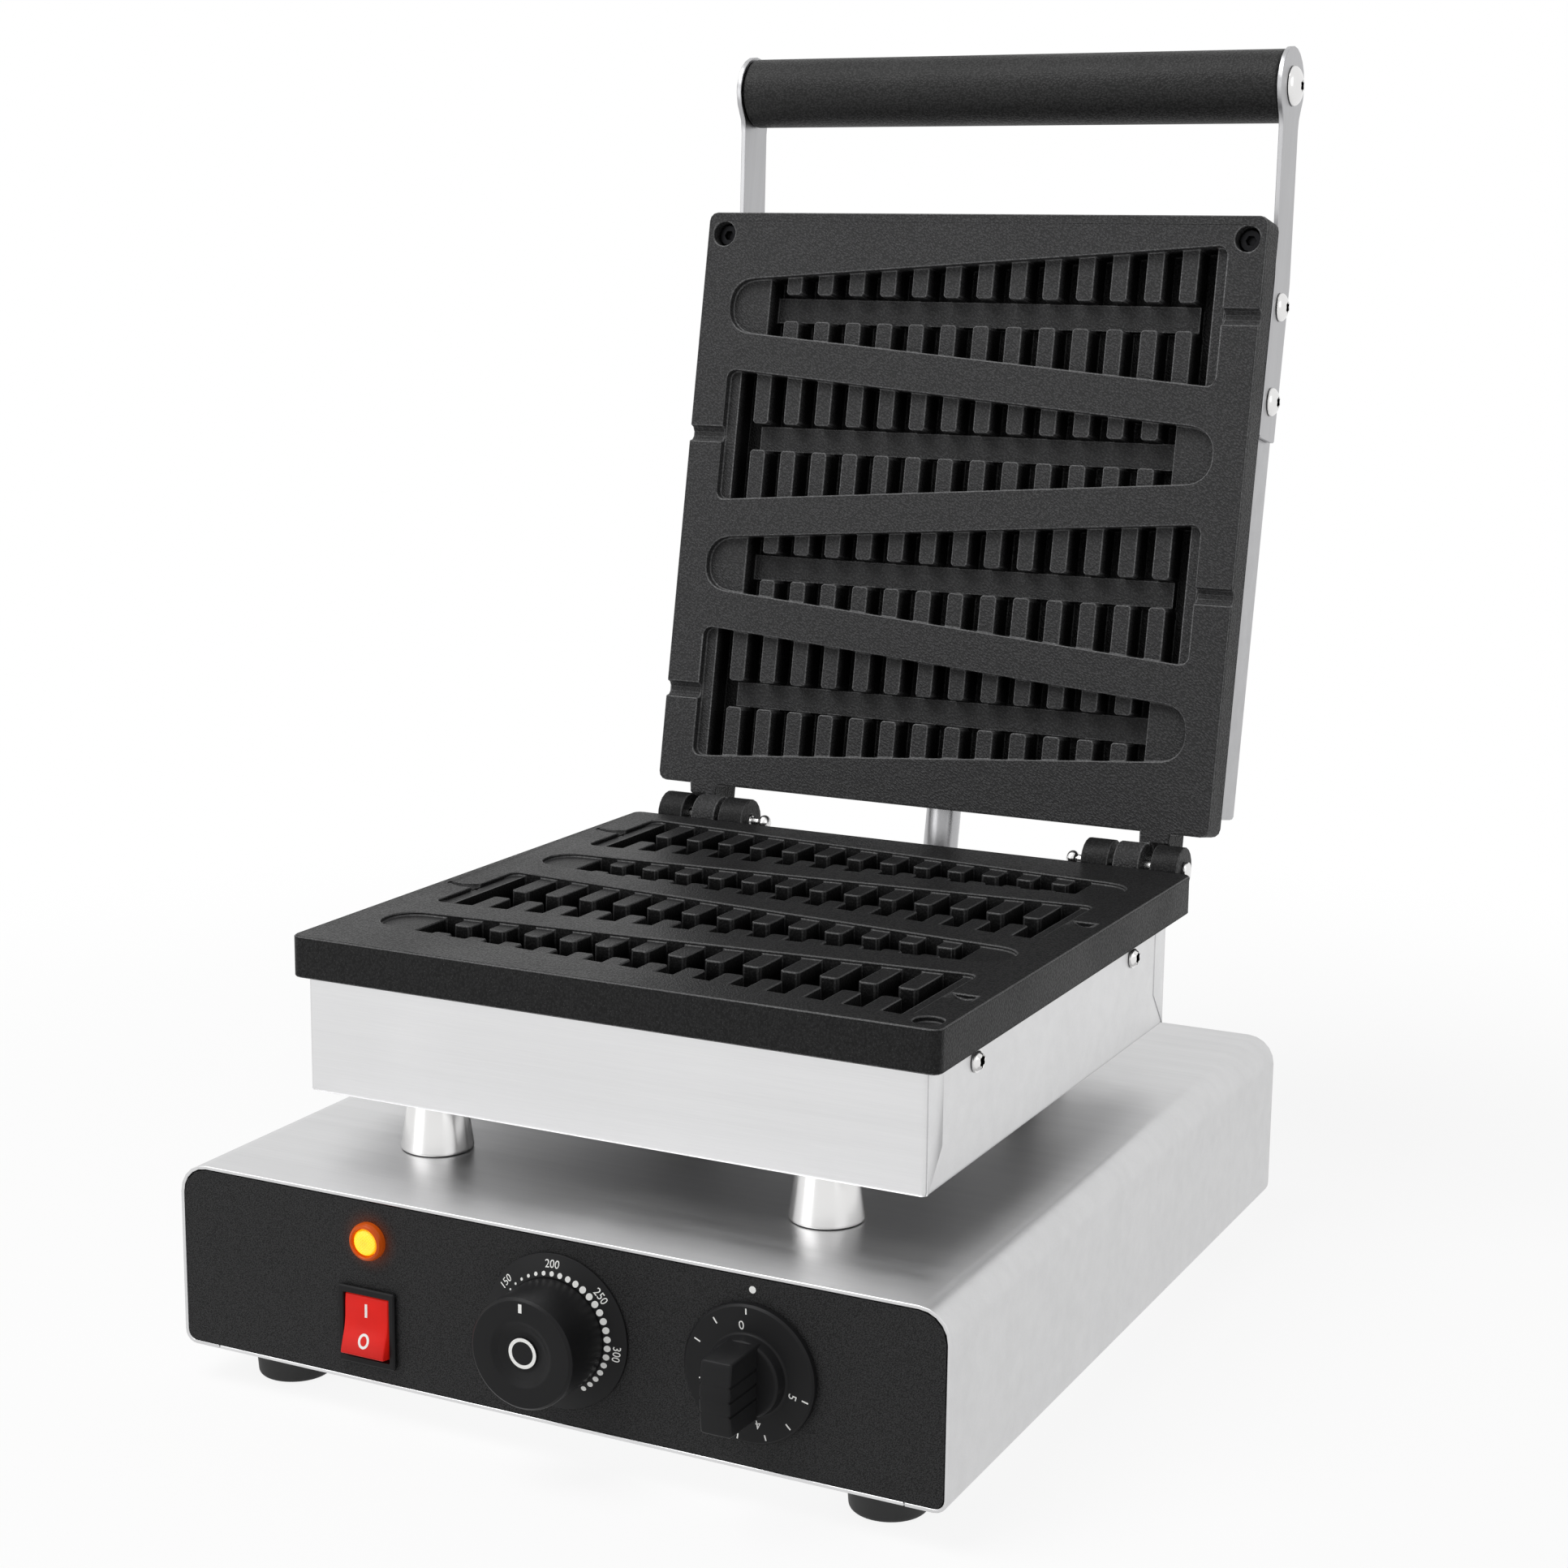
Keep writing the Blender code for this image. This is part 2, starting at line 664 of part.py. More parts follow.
def feet():
    for name, (x, y) in zip(corner_names(), foot_places()):
        low = -FOOT_HEIGHT
        low_radius = FOOT_RADIUS - FOOT_TAPER
        profile = [
            (0, STUD_LENGTH),
            (STUD_RADIUS, STUD_LENGTH),
            (STUD_RADIUS, 0),
            (FOOT_RADIUS - FOOT_EDGE, 0),
            (FOOT_RADIUS, -FOOT_EDGE),
            (low_radius, low + FOOT_EDGE),
            (low_radius - FOOT_EDGE, low),
            (0, low),
        ]
        at = (x, y, -FIT_GAP)
        foot = turned(f"foot_{name}", profile, at, FACE_UP, BASE)
        finish_as(foot, "rubber")


def posts():
    high = POST_HEIGHT - 2 * FIT_GAP
    profile = [
        (0, high + STUD_LENGTH),
        (STUD_RADIUS, high + STUD_LENGTH),
        (STUD_RADIUS, high),
        (POST_TOP_RADIUS, high),
        (POST_BASE_RADIUS, 0),
        (STUD_RADIUS, 0),
        (STUD_RADIUS, -STUD_LENGTH),
        (0, -STUD_LENGTH),
    ]
    for name, (x, y) in zip(corner_names(), post_places()):
        at = (x, y, POST_FOOT_Z + FIT_GAP)
        finish_as(turned(f"post_{name}", profile, at, FACE_UP, BASE), "bright_steel")


def panel_outline():
    return cover_outline(SHEET + FIT_GAP, SHEET + FIT_GAP)


def front_hole(name, radius, x, z, segments=SMALL_SEGMENTS):
    reach = FRONT_PANEL_THICKNESS + OVERRUN
    return cylinder(name, radius, -reach, OVERRUN, (x, 0, z), FACE_FRONT, BASE, segments)


def front_panel():
    middle = FRONT_PANEL_THICKNESS / 2
    panel = slab("front_panel", panel_outline(), FRONT_PANEL_THICKNESS, (0, middle, 0), BASE, OUTLINE_XZ)
    width = SWITCH_BODY_WIDTH / 2 + FIT_GAP
    height = SWITCH_BODY_HEIGHT / 2 + FIT_GAP
    cut(
        panel,
        front_hole("lamp_hole", LAMP_BARREL_RADIUS + FIT_GAP, LAMP_X, LAMP_Z),
        front_hole("thermostat_hole", SHAFT_RADIUS + SHAFT_CLEARANCE, THERMOSTAT_X, THERMOSTAT_Z),
        front_hole("timer_hole", SHAFT_RADIUS + SHAFT_CLEARANCE, TIMER_X, TIMER_Z),
        block(
            "switch_hole",
            (SWITCH_X - width, -OVERRUN, SWITCH_Z - height),
            (SWITCH_X + width, FRONT_PANEL_THICKNESS + OVERRUN, SWITCH_Z + height),
            BASE,
        ),
    )
    return finish_as(panel, "panel")


def rear_panel():
    middle = COVER_DEPTH - SHEET / 2
    panel = slab("rear_panel", panel_outline(), SHEET, (0, middle, 0), BASE, OUTLINE_XZ)
    cut(panel, gland_hole("rear_gland_hole", (CABLE_GLAND_X, COVER_DEPTH, CABLE_GLAND_Z), FACE_REAR))
    return finish_as(panel, "steel")


def gland(name, location, turn):
    """A cable gland whose thread goes through the sheet behind its flange."""
    flange = GLAND_FLANGE_HEIGHT + FIT_GAP
    top = GLAND_BODY_HEIGHT
    profile = [
        (GLAND_BORE_RADIUS, top),
        (GLAND_BODY_RADIUS - GLAND_FLANGE_HEIGHT / 2, top),
        (GLAND_BODY_RADIUS, top - GLAND_FLANGE_HEIGHT),
        (GLAND_BODY_RADIUS, flange),
        (GLAND_FLANGE_RADIUS, flange),
        (GLAND_FLANGE_RADIUS, FIT_GAP),
        (GLAND_THREAD_RADIUS, FIT_GAP),
        (GLAND_THREAD_RADIUS, -GLAND_THREAD_LENGTH),
        (GLAND_BORE_RADIUS, -GLAND_THREAD_LENGTH),
    ]
    return finish_as(turned(name, profile, location, turn, BASE, ring=True), "black_plastic")


def terminal_block():
    """A comb of barriers on a bar, lying on the bottom plate near the rear."""
    rear = COVER_DEPTH - TERMINAL_REAR_INSET
    half = TERMINAL_WIDTH / 2
    floor = SHEET + FIT_GAP
    obj = block(
        "terminal_block",
        (-half, rear - TERMINAL_DEPTH, floor),
        (half, rear, floor + TERMINAL_HEIGHT),
        BASE,
    )
    way = (TERMINAL_WIDTH - TERMINAL_BARRIER) / TERMINAL_WAYS
    for index in range(TERMINAL_WAYS):
        start = -half + TERMINAL_BARRIER + way * index
        cut(obj, block(
            f"terminal_way_{index}",
            (start, rear - TERMINAL_DEPTH - OVERRUN, floor + TERMINAL_HEIGHT - TERMINAL_STEP),
            (start + way - TERMINAL_BARRIER, rear + OVERRUN, floor + TERMINAL_HEIGHT + OVERRUN),
            BASE,
        ))
    return finish_as(obj, "ivory_plastic")


# Controls

def pilot_lamp():
    at = (LAMP_X, 0, LAMP_Z)
    front = LAMP_BEZEL_HEIGHT
    well = LAMP_LENS_RADIUS + FIT_GAP
    seat = front - LAMP_SEAT_DEPTH
    rim = (well + LAMP_BEZEL_RADIUS) / 2
    bezel = [
        (0, seat),
        (well, seat),
        (well, front - LAMP_LENS_DOME),
        (rim, front),
        (LAMP_BEZEL_RADIUS - LAMP_LENS_DOME, front - LAMP_LENS_DOME),
        (LAMP_BEZEL_RADIUS, front / 2),
        (LAMP_BEZEL_RADIUS, FIT_GAP),
        (LAMP_BARREL_RADIUS, FIT_GAP),
        (LAMP_BARREL_RADIUS, -LAMP_BARREL_LENGTH),
        (0, -LAMP_BARREL_LENGTH),
    ]
    ring = turned("lamp_bezel", bezel, at, FACE_FRONT, BASE)
    finish_as(ring, "orange")
    low = seat + FIT_GAP
    lens_front = low + LAMP_LENS_DEPTH
    lens = [
        (0, lens_front + LAMP_LENS_DOME),
        (LAMP_LENS_RADIUS / 2, lens_front + LAMP_LENS_DOME / 2),
        (LAMP_LENS_RADIUS, lens_front),
        (LAMP_LENS_RADIUS, low),
        (0, low),
    ]
    finish_as(turned("lamp_lens", lens, at, FACE_FRONT, BASE), "amber")
    behind = -LAMP_BARREL_LENGTH - FIT_GAP
    body = cylinder(
        "lamp_body", LAMP_BODY_RADIUS, behind - LAMP_BODY_LENGTH, behind, at, FACE_FRONT, BASE
    )
    finish_as(body, "black_plastic")


def switch_housing():
    half_width = SWITCH_BEZEL_WIDTH / 2
    half_height = SWITCH_BEZEL_HEIGHT / 2
    housing = block(
        "switch_housing",
        (SWITCH_X - half_width, -SWITCH_BEZEL_PROUD - FIT_GAP, SWITCH_Z - half_height),
        (SWITCH_X + half_width, -FIT_GAP, SWITCH_Z + half_height),
        BASE,
        SWITCH_BEZEL_EDGE,
    )
    body_width = SWITCH_BODY_WIDTH / 2
    body_height = SWITCH_BODY_HEIGHT / 2
    join(housing, block(
        "switch_body",
        (SWITCH_X - body_width, -SWITCH_BEZEL_PROUD / 2, SWITCH_Z - body_height),
        (SWITCH_X + body_width, SWITCH_BODY_DEPTH, SWITCH_Z + body_height),
        BASE,
    ))
    well_width = ROCKER_WIDTH / 2 + ROCKER_CLEARANCE
    well_height = ROCKER_HEIGHT / 2 + ROCKER_END_CLEARANCE
    bore = ROCKER_TRUNNION_RADIUS + FIT_GAP
    reach = well_width + ROCKER_TRUNNION_REACH
    pivot = (SWITCH_X, ROCKER_PIVOT_DEPTH, SWITCH_Z)
    cut(
        housing,
        block(
            "switch_well",
            (SWITCH_X - well_width, -SWITCH_BEZEL_PROUD - OVERRUN, SWITCH_Z - well_height),
            (SWITCH_X + well_width, ROCKER_WELL_DEPTH, SWITCH_Z + well_height),
            BASE,
        ),
        cylinder("switch_pivot_bore", bore, -reach, reach, pivot, FACE_RIGHT, BASE),
    )
    return finish_as(housing, "black_plastic")


def switch_rocker():
    """Drawn level, then tipped about its trunnions so that its top half is pressed in."""
    half = ROCKER_HEIGHT / 2
    front = ROCKER_RIM + ROCKER_PIVOT_DEPTH
    dish = [
        (front - ROCKER_DISH * math.cos(share * math.pi / 2) ** 2, share * half)
        for share in DISH_SHARES
    ]
    outline = [(-y, z) for y, z in dish]
    outline += [(ROCKER_BACK, half), (ROCKER_BACK, -half)]
    tilt = new_empty(
        "rocker_pivot",
        (SWITCH_X, ROCKER_PIVOT_DEPTH, SWITCH_Z),
        (-math.radians(ROCKER_TILT_DEGREES), 0, 0),
        BASE,
    )
    rocker = slab("switch_rocker", outline, ROCKER_WIDTH, (0, 0, 0), tilt, OUTLINE_YZ)
    reach = ROCKER_WIDTH / 2 + ROCKER_TRUNNION_REACH
    trunnion = cylinder(
        "rocker_trunnion", ROCKER_TRUNNION_RADIUS, -reach, reach, (0, 0, 0), FACE_RIGHT, tilt
    )
    join(rocker, trunnion)
    return finish_as(rocker, "red_rocker")


def control_shaft(name, x, z, knob_face):
    """The shaft from inside a control's body, through the panel, into the back of its knob."""
    top = knob_face - KNOB_DISH_DEPTH - OVERRUN
    bottom = -(FRONT_PANEL_THICKNESS + BUSH_LENGTH)
    shaft = cylinder(name, SHAFT_RADIUS, bottom, top, (x, 0, z), FACE_FRONT, BASE)
    return finish_as(shaft, "bright_steel")


def shaft_bore(name, x, z, low, high):
    radius = SHAFT_RADIUS + SHAFT_CLEARANCE
    return cylinder(name, radius, low, high, (x, 0, z), FACE_FRONT, BASE)


def thermostat():
    at = (THERMOSTAT_X, 0, THERMOSTAT_Z)
    ring = [
        (SHAFT_RADIUS + SHAFT_CLEARANCE, DIAL_RING_HEIGHT),
        (DIAL_RING_TOP_RADIUS, DIAL_RING_HEIGHT),
        (DIAL_RING_RADIUS, DIAL_RING_LIP + FIT_GAP),
        (DIAL_RING_RADIUS, FIT_GAP),
        (SHAFT_RADIUS + SHAFT_CLEARANCE, FIT_GAP),
    ]
    dial = turned(
        "thermostat_dial_ring", ring, at, FACE_FRONT, BASE, FINE_SEGMENTS, ring=True
    )
    finish_as(dial, "black_plastic")
    face = THERMOSTAT_KNOB_FACE
    radius = THERMOSTAT_KNOB_RADIUS
    dish = face - KNOB_DISH_DEPTH
    profile = [
        (0, face - KNOB_DISH_DEPTH / 3),
        (KNOB_BOSS_RADIUS, face - KNOB_DISH_DEPTH / 3),
        (KNOB_BOSS_RADIUS, dish),
        (KNOB_DISH_RADIUS, dish + KNOB_DISH_DEPTH / 2),
        (KNOB_DISH_RADIUS, face),
    ]
    profile += arc(radius - KNOB_EDGE, face - KNOB_EDGE, KNOB_EDGE, 90, 0, DOME_STEPS)
    bottom = DIAL_RING_HEIGHT + FIT_GAP
    profile += [(radius, bottom), (0, bottom)]
    knob = turned("thermostat_knob", profile, at, FACE_FRONT, BASE, FINE_SEGMENTS)
    bore_end = face - KNOB_DISH_DEPTH - OVERRUN + FIT_GAP
    cut(knob, shaft_bore("thermostat_knob_bore", THERMOSTAT_X, THERMOSTAT_Z, 0, bore_end))
    finish_as(knob, "black_plastic")
    control_shaft("thermostat_shaft", THERMOSTAT_X, THERMOSTAT_Z, face)
    half = THERMOSTAT_BODY_WIDTH / 2
    front = FRONT_PANEL_THICKNESS + FIT_GAP
    body = block(
        "thermostat_body",
        (THERMOSTAT_X - half, front, THERMOSTAT_Z - half),
        (THERMOSTAT_X + half, front + THERMOSTAT_BODY_DEPTH, THERMOSTAT_Z + half),
        BASE,
    )
    end = -(FRONT_PANEL_THICKNESS + BUSH_LENGTH + FIT_GAP)
    cut(body, shaft_bore("thermostat_body_bore", THERMOSTAT_X, THERMOSTAT_Z, end, 0))
    finish_as(body, "ivory_plastic")


def timer_knob():
    at = (TIMER_X, 0, TIMER_Z)
    disc = TIMER_DISC_THICKNESS + FIT_GAP
    hub = disc + TIMER_HUB_HEIGHT
    profile = [
        (0, hub),
        (TIMER_HUB_TOP_RADIUS, hub),
        (TIMER_HUB_TOP_RADIUS, disc + TIMER_HUB_HEIGHT / 2),
        ((TIMER_HUB_TOP_RADIUS + TIMER_HUB_RADIUS) / 2, disc + TIMER_DISC_THICKNESS / 2),
        (TIMER_HUB_RADIUS, disc),
        (TIMER_DISC_RADIUS - TIMER_DISC_THICKNESS / 2, disc),
        (TIMER_DISC_RADIUS, disc - TIMER_DISC_THICKNESS / 2),
        (TIMER_DISC_RADIUS, FIT_GAP),
        (0, FIT_GAP),
    ]
    knob = turned("timer_knob", profile, at, FACE_FRONT, BASE, FINE_SEGMENTS)
    half_height = TIMER_GRIP_HEIGHT / 2
    crown = [
        (
            -(TIMER_GRIP_FACE + TIMER_GRIP_CROWN * math.cos(share * math.pi / 2)),
            share * half_height,
        )
        for share in CROWN_SHARES
    ]
    root = -(disc - TIMER_DISC_THICKNESS / 2)
    outline = crown + [(root, -half_height), (root, half_height)]
    grip = slab("timer_grip", outline, TIMER_GRIP_WIDTH, (TIMER_X, 0, TIMER_Z), BASE, OUTLINE_YZ)
    for side, word in mirrored_sides():
        for index in range(TIMER_GROOVE_COUNT):
            offset = TIMER_GROOVE_PITCH * (index - (TIMER_GROOVE_COUNT - 1) / 2)
            groove_at = (
                TIMER_X + side * (TIMER_GRIP_WIDTH + TIMER_GROOVE_RADIUS) / 2,
                0,
                TIMER_Z + offset,
            )
            reach = TIMER_GRIP_FACE + TIMER_GRIP_CROWN + OVERRUN
            cut(grip, cylinder(
                f"timer_groove_{word}_{index}", TIMER_GROOVE_RADIUS, hub + OVERRUN, reach,
                groove_at, FACE_FRONT, BASE, TIMER_GROOVE_SIDES,
            ))
    join(knob, grip)
    bore_end = TIMER_GRIP_FACE - KNOB_DISH_DEPTH - OVERRUN + FIT_GAP
    cut(knob, shaft_bore("timer_knob_bore", TIMER_X, TIMER_Z, 0, bore_end))
    return finish_as(knob, "black_plastic")


def timer():
    timer_knob()
    control_shaft("timer_shaft", TIMER_X, TIMER_Z, TIMER_GRIP_FACE)
    front = -(FRONT_PANEL_THICKNESS + FIT_GAP)
    body = cylinder(
        "timer_body", TIMER_BODY_RADIUS, front - TIMER_BODY_DEPTH, front,
        (TIMER_X, 0, TIMER_Z), FACE_FRONT, BASE, ROUND_SEGMENTS,
    )
    end = -(FRONT_PANEL_THICKNESS + BUSH_LENGTH + FIT_GAP)
    cut(body, shaft_bore("timer_body_bore", TIMER_X, TIMER_Z, end, 0))
    finish_as(body, "bright_steel")


# Casings

def casing(name, length, height, parent, location, depth_side):
    """A folded steel tray: closed at its outer side, open towards the plate."""
    mesh = bpy.data.meshes.new(name)
    shape = bmesh.new()
    bmesh.ops.create_cube(shape, size=1)
    bmesh.ops.scale(shape, vec=(CASING_WIDTH, length, height), verts=shape.verts)
    bmesh.ops.translate(shape, vec=(0, -length / 2, depth_side * height / 2), verts=shape.verts)
    open_side = [face for face in shape.faces if face.normal.z * depth_side < -FACE_TEST_SHARE]
    bmesh.ops.delete(shape, geom=open_side, context="FACES_ONLY")
    folds = [edge for edge in shape.edges if len(edge.link_faces) == 2]
    bmesh.ops.bevel(
        shape, geom=folds, offset=CASING_EDGE, segments=2, profile=ROUND_PROFILE_SHARE,
        affect="EDGES",
    )
    shape.to_mesh(mesh)
    shape.free()
    tray = place(name, mesh, location, parent=parent)
    shell = tray.modifiers.new("sheet", "SOLIDIFY")
    shell.thickness = SHEET
    shell.offset = SHEET_SIDE
    shell.use_even_offset = True
    return baked(tray)


def lower_casing():
    length = PLATE_LENGTH - LOWER_CASING_BACK_INSET - CASING_FRONT_INSET
    height = CASING_DEPTH - FIT_GAP
    back_y = LOWER_CASING_BACK_Y
    top = PLATE_BOTTOM_Z - FIT_GAP
    tray = casing("lower_casing", length, height, BASE, (0, back_y, top), -1)
    body_half = plate_body_half() + FIT_GAP
    drop = PLATE_BODY_DEPTH - PLATE_THICKNESS + FIT_GAP
    cut(tray, block(
        "casing_back_notch",
        (-body_half, back_y - SHEET - OVERRUN, PLATE_BOTTOM_Z - drop),
        (body_half, back_y + OVERRUN, PLATE_BOTTOM_Z + OVERRUN),
        BASE,
    ))
    for index, (x, y) in enumerate(post_places()):
        cut(tray, stud_hole(f"casing_post_hole_{index}", (x, y, LOWER_CASING_Z)))
    for side, word, y in casing_screw_places():
        radius = PAN_SCREW_SHANK + FIT_GAP
        at = (side * CASING_HALF, y, PLATE_BOTTOM_Z - CASING_SCREW_DROP)
        reach = SHEET + OVERRUN
        name = f"casing_screw_hole_{word}"
        cut(tray, cylinder(name, radius, -reach, reach, at, FACE_RIGHT, BASE))
    return finish_as(tray, "steel")


def casing_screw_places():
    """(sign of X, name, y) of the four screws that hold the lower casing to the plate's lugs."""
    places = []
    for side, word in mirrored_sides():
        places.append((side, f"front_{word}", PLATE_FRONT_Y + CASING_SCREW_FRONT_INSET))
        places.append((side, f"rear_{word}", PLATE_BACK_Y - CASING_SCREW_REAR_INSET))
    return places


def pan_screw(name, radius, height, shank, reach, location, turn, parent):
    """A domed screw whose head lies above its own z = 0 and whose shank goes below it."""
    dome = [
        (radius * math.cos(angle), FIT_GAP + height * math.sin(angle))
        for angle in (math.pi / 2 * step / DOME_STEPS for step in range(DOME_STEPS, -1, -1))
    ]
    profile = [(0, dome[0][1])] + dome[1:]
    profile += [(radius, FIT_GAP), (shank, FIT_GAP), (shank, -reach), (0, -reach)]
    profile = [point for index, point in enumerate(profile) if point not in profile[:index]]
    screw = turned(name, profile, location, turn, parent, SMALL_SEGMENTS)
    top = FIT_GAP + height
    cut(screw, cylinder(
        f"{name}_socket", TORX_RADIUS, top - TORX_DEPTH, top + OVERRUN,
        location, turn, parent, DRIVE_SIDES,
    ))
    return finish_as(screw, "bright_steel")


def casing_screws():
    for side, word, y in casing_screw_places():
        at = (side * CASING_HALF, y, PLATE_BOTTOM_Z - CASING_SCREW_DROP)
        turn = FACE_RIGHT if side > 0 else FACE_LEFT
        reach = SHEET + LUG_WIDTH / 2
        pan_screw(
            f"casing_screw_{word}", PAN_SCREW_RADIUS, PAN_SCREW_HEIGHT, PAN_SCREW_SHANK,
            reach, at, turn, BASE,
        )


# Plates: x across, u from the hinge edge towards the front, depth from the face

def plate_body_half():
    return CASING_HALF - SHEET - 2 * FIT_GAP


def plate_y(distance):
    """Y from the hinge axis of a place on a plate, from its distance to the hinge edge."""
    return -(HINGE_SETBACK + distance)


def depth_box(name, face, depth_side, x_range, u_range, depth_range, parent, edge=0):
    """A box given by ranges across, from the hinge edge and in depth from a plate's face."""
    heights = [face + depth_side * depth for depth in depth_range]
    low = (x_range[0], plate_y(u_range[1]), min(heights))
    high = (x_range[1], plate_y(u_range[0]), max(heights))
    return block(name, low, high, parent, edge)


def tree_places():
    """(name, distance from the hinge edge, side of its base) of each cavity, rear to front."""
    middle = PLATE_LENGTH / 2
    places = []
    for index in range(TREE_COUNT):
        offset = TREE_SPACING * (index - (TREE_COUNT - 1) / 2)
        base_side = 1 if index % 2 else -1
        places.append((index, middle + offset, base_side))
    return places


def tooth_starts():
    """Where each tooth begins along the tree, from the one nearest the tip."""
    first = -(TREE_TIP - TIP_LAND) + SLOT_WIDTH
    return [first + TOOTH_PITCH * index for index in range(TOOTH_COUNT)]


def teeth(name, face, depth_side, middle_u, base_side, parent):
    """The teeth of one cavity as tapered bars with chamfered inner ends, all in one mesh."""
    mesh = bpy.data.meshes.new(name)
    shape = bmesh.new()
    top = RECESS_DEPTH
    bottom = PLATE_BODY_DEPTH + OVERRUN
    inner = CHANNEL_HALF
    outer = TREE_BASE_HALF + OVERRUN
    spread = (TOOTH_ROOT_WIDTH - TOOTH_WIDTH) / 2
    for start in tooth_starts():
        for side in (-1, 1):
            rings = []
            for depth, grow in ((top, 0), (bottom, spread)):
                low, high = start - grow, start + TOOTH_WIDTH + grow
                near = inner - grow
                corners = [
                    (low, outer),
                    (low, near + TOOTH_CHAMFER),
                    (low + TOOTH_CHAMFER, near),
                    (high - TOOTH_CHAMFER, near),
                    (high, near + TOOTH_CHAMFER),
                    (high, outer),
                ]
                z = face + depth_side * depth
                rings.append([
                    shape.verts.new((base_side * x, plate_y(middle_u) + side * across, z))
                    for x, across in corners
                ])
            bmesh.ops.contextual_create(shape, geom=rings[0])
            bmesh.ops.contextual_create(shape, geom=rings[1])
            count = len(rings[0])
            for index in range(count):
                after = (index + 1) % count
                shape.faces.new(
                    (rings[0][index], rings[0][after], rings[1][after], rings[1][index])
                )
    bmesh.ops.recalc_face_normals(shape, faces=shape.faces)
    shape.to_mesh(mesh)
    shape.free()
    return place(name, mesh, parent=parent)


def tree_cutter(name, face, depth_side, middle_u, base_side, parent):
    """What one cavity takes out of a plate: a tree outline, less teeth, lands and channel floor."""
    middle_y = plate_y(middle_u)
    corners = [
        (TREE_BASE, -TREE_BASE_HALF, TREE_CORNER),
        (TREE_BASE, TREE_BASE_HALF, TREE_CORNER),
        (-TREE_SHOULDER, TREE_TIP_HALF, 0),
        (-TREE_TIP, TREE_TIP_HALF - TIP_TAPER_SHARE * TREE_TIP_HALF, TREE_TIP_ROUND),
        (-TREE_TIP, -TREE_TIP_HALF + TIP_TAPER_SHARE * TREE_TIP_HALF, TREE_TIP_ROUND),
        (-TREE_SHOULDER, -TREE_TIP_HALF, 0),
    ]
    outline = [(base_side * x, y) for x, y in rounded(corners, BEND_STEPS)]
    height = SLOT_DEPTH + OVERRUN
    middle_z = face + depth_side * (SLOT_DEPTH - OVERRUN) / 2
    cutter = slab(name, outline, height, (0, middle_y, middle_z), parent)

    def along(low, high):
        return sorted((base_side * low, base_side * high))

    deep = (RECESS_DEPTH, SLOT_DEPTH + OVERRUN)
    across = TREE_BASE_HALF + OVERRUN
    wide = (middle_u - across, middle_u + across)
    narrow = (middle_u - CHANNEL_FLOOR_HALF, middle_u + CHANNEL_FLOOR_HALF)
    land = -(TREE_TIP - TIP_LAND)
    last_slot = tooth_starts()[-1] + TOOTH_WIDTH
    cut(
        cutter,
        teeth(f"{name}_teeth", face, depth_side, middle_u, base_side, parent),
        depth_box(
            f"{name}_tip_land", face, depth_side,
            along(-TREE_TIP - OVERRUN, land), wide, deep, parent,
        ),
        depth_box(
            f"{name}_base_land", face, depth_side,
            along(last_slot + SLOT_WIDTH, TREE_BASE + OVERRUN), wide, deep, parent,
        ),
        depth_box(
            f"{name}_floor", face, depth_side,
            along(land - OVERRUN, last_slot), narrow,
            (CHANNEL_DEPTH, SLOT_DEPTH + OVERRUN), parent,
        ),
    )
    return cutter


def plate_slab(name, face, depth_side, parent):
    """The rim slab of a plate with rounded corners and softened edges."""
    outline = rectangle(
        -PLATE_HALF, PLATE_HALF, plate_y(PLATE_LENGTH), plate_y(0), PLATE_CORNER, PLATE_CORNER
    )
    middle = face + depth_side * PLATE_THICKNESS / 2
    plate = slab(name, outline, PLATE_THICKNESS, (0, 0, middle), parent)
    bevel = plate.modifiers.new("edges", "BEVEL")
    bevel.width = PLATE_EDGE
    bevel.segments = 2
    bevel.angle_limit = math.radians(SHARP_DEGREES)
    return plate


def cut_trees(plate, face, depth_side, parent):
    for index, middle_u, base_side in tree_places():
        cut(plate, tree_cutter(
            f"{plate.name}_tree_{index}", face, depth_side, middle_u, base_side, parent
        ))


def knuckle(name, side, start, length, parent):
    """A hinge barrel on the axis, from its start to its end away from the middle."""
    low, high = sorted((side * start, side * (start + length)))
    return cylinder(name, BARREL_RADIUS, low, high, (0, 0, 0), FACE_RIGHT, parent, ROUND_SEGMENTS)


def pin_bore(name, side, parent):
    low, high = sorted((side * (INNER_KNUCKLE_START - OVERRUN), side * (OUTER_KNUCKLE_END + OVERRUN)))
    radius = PIN_RADIUS + PIN_CLEARANCE
    return cylinder(name, radius, low, high, (0, 0, 0), FACE_RIGHT, parent)


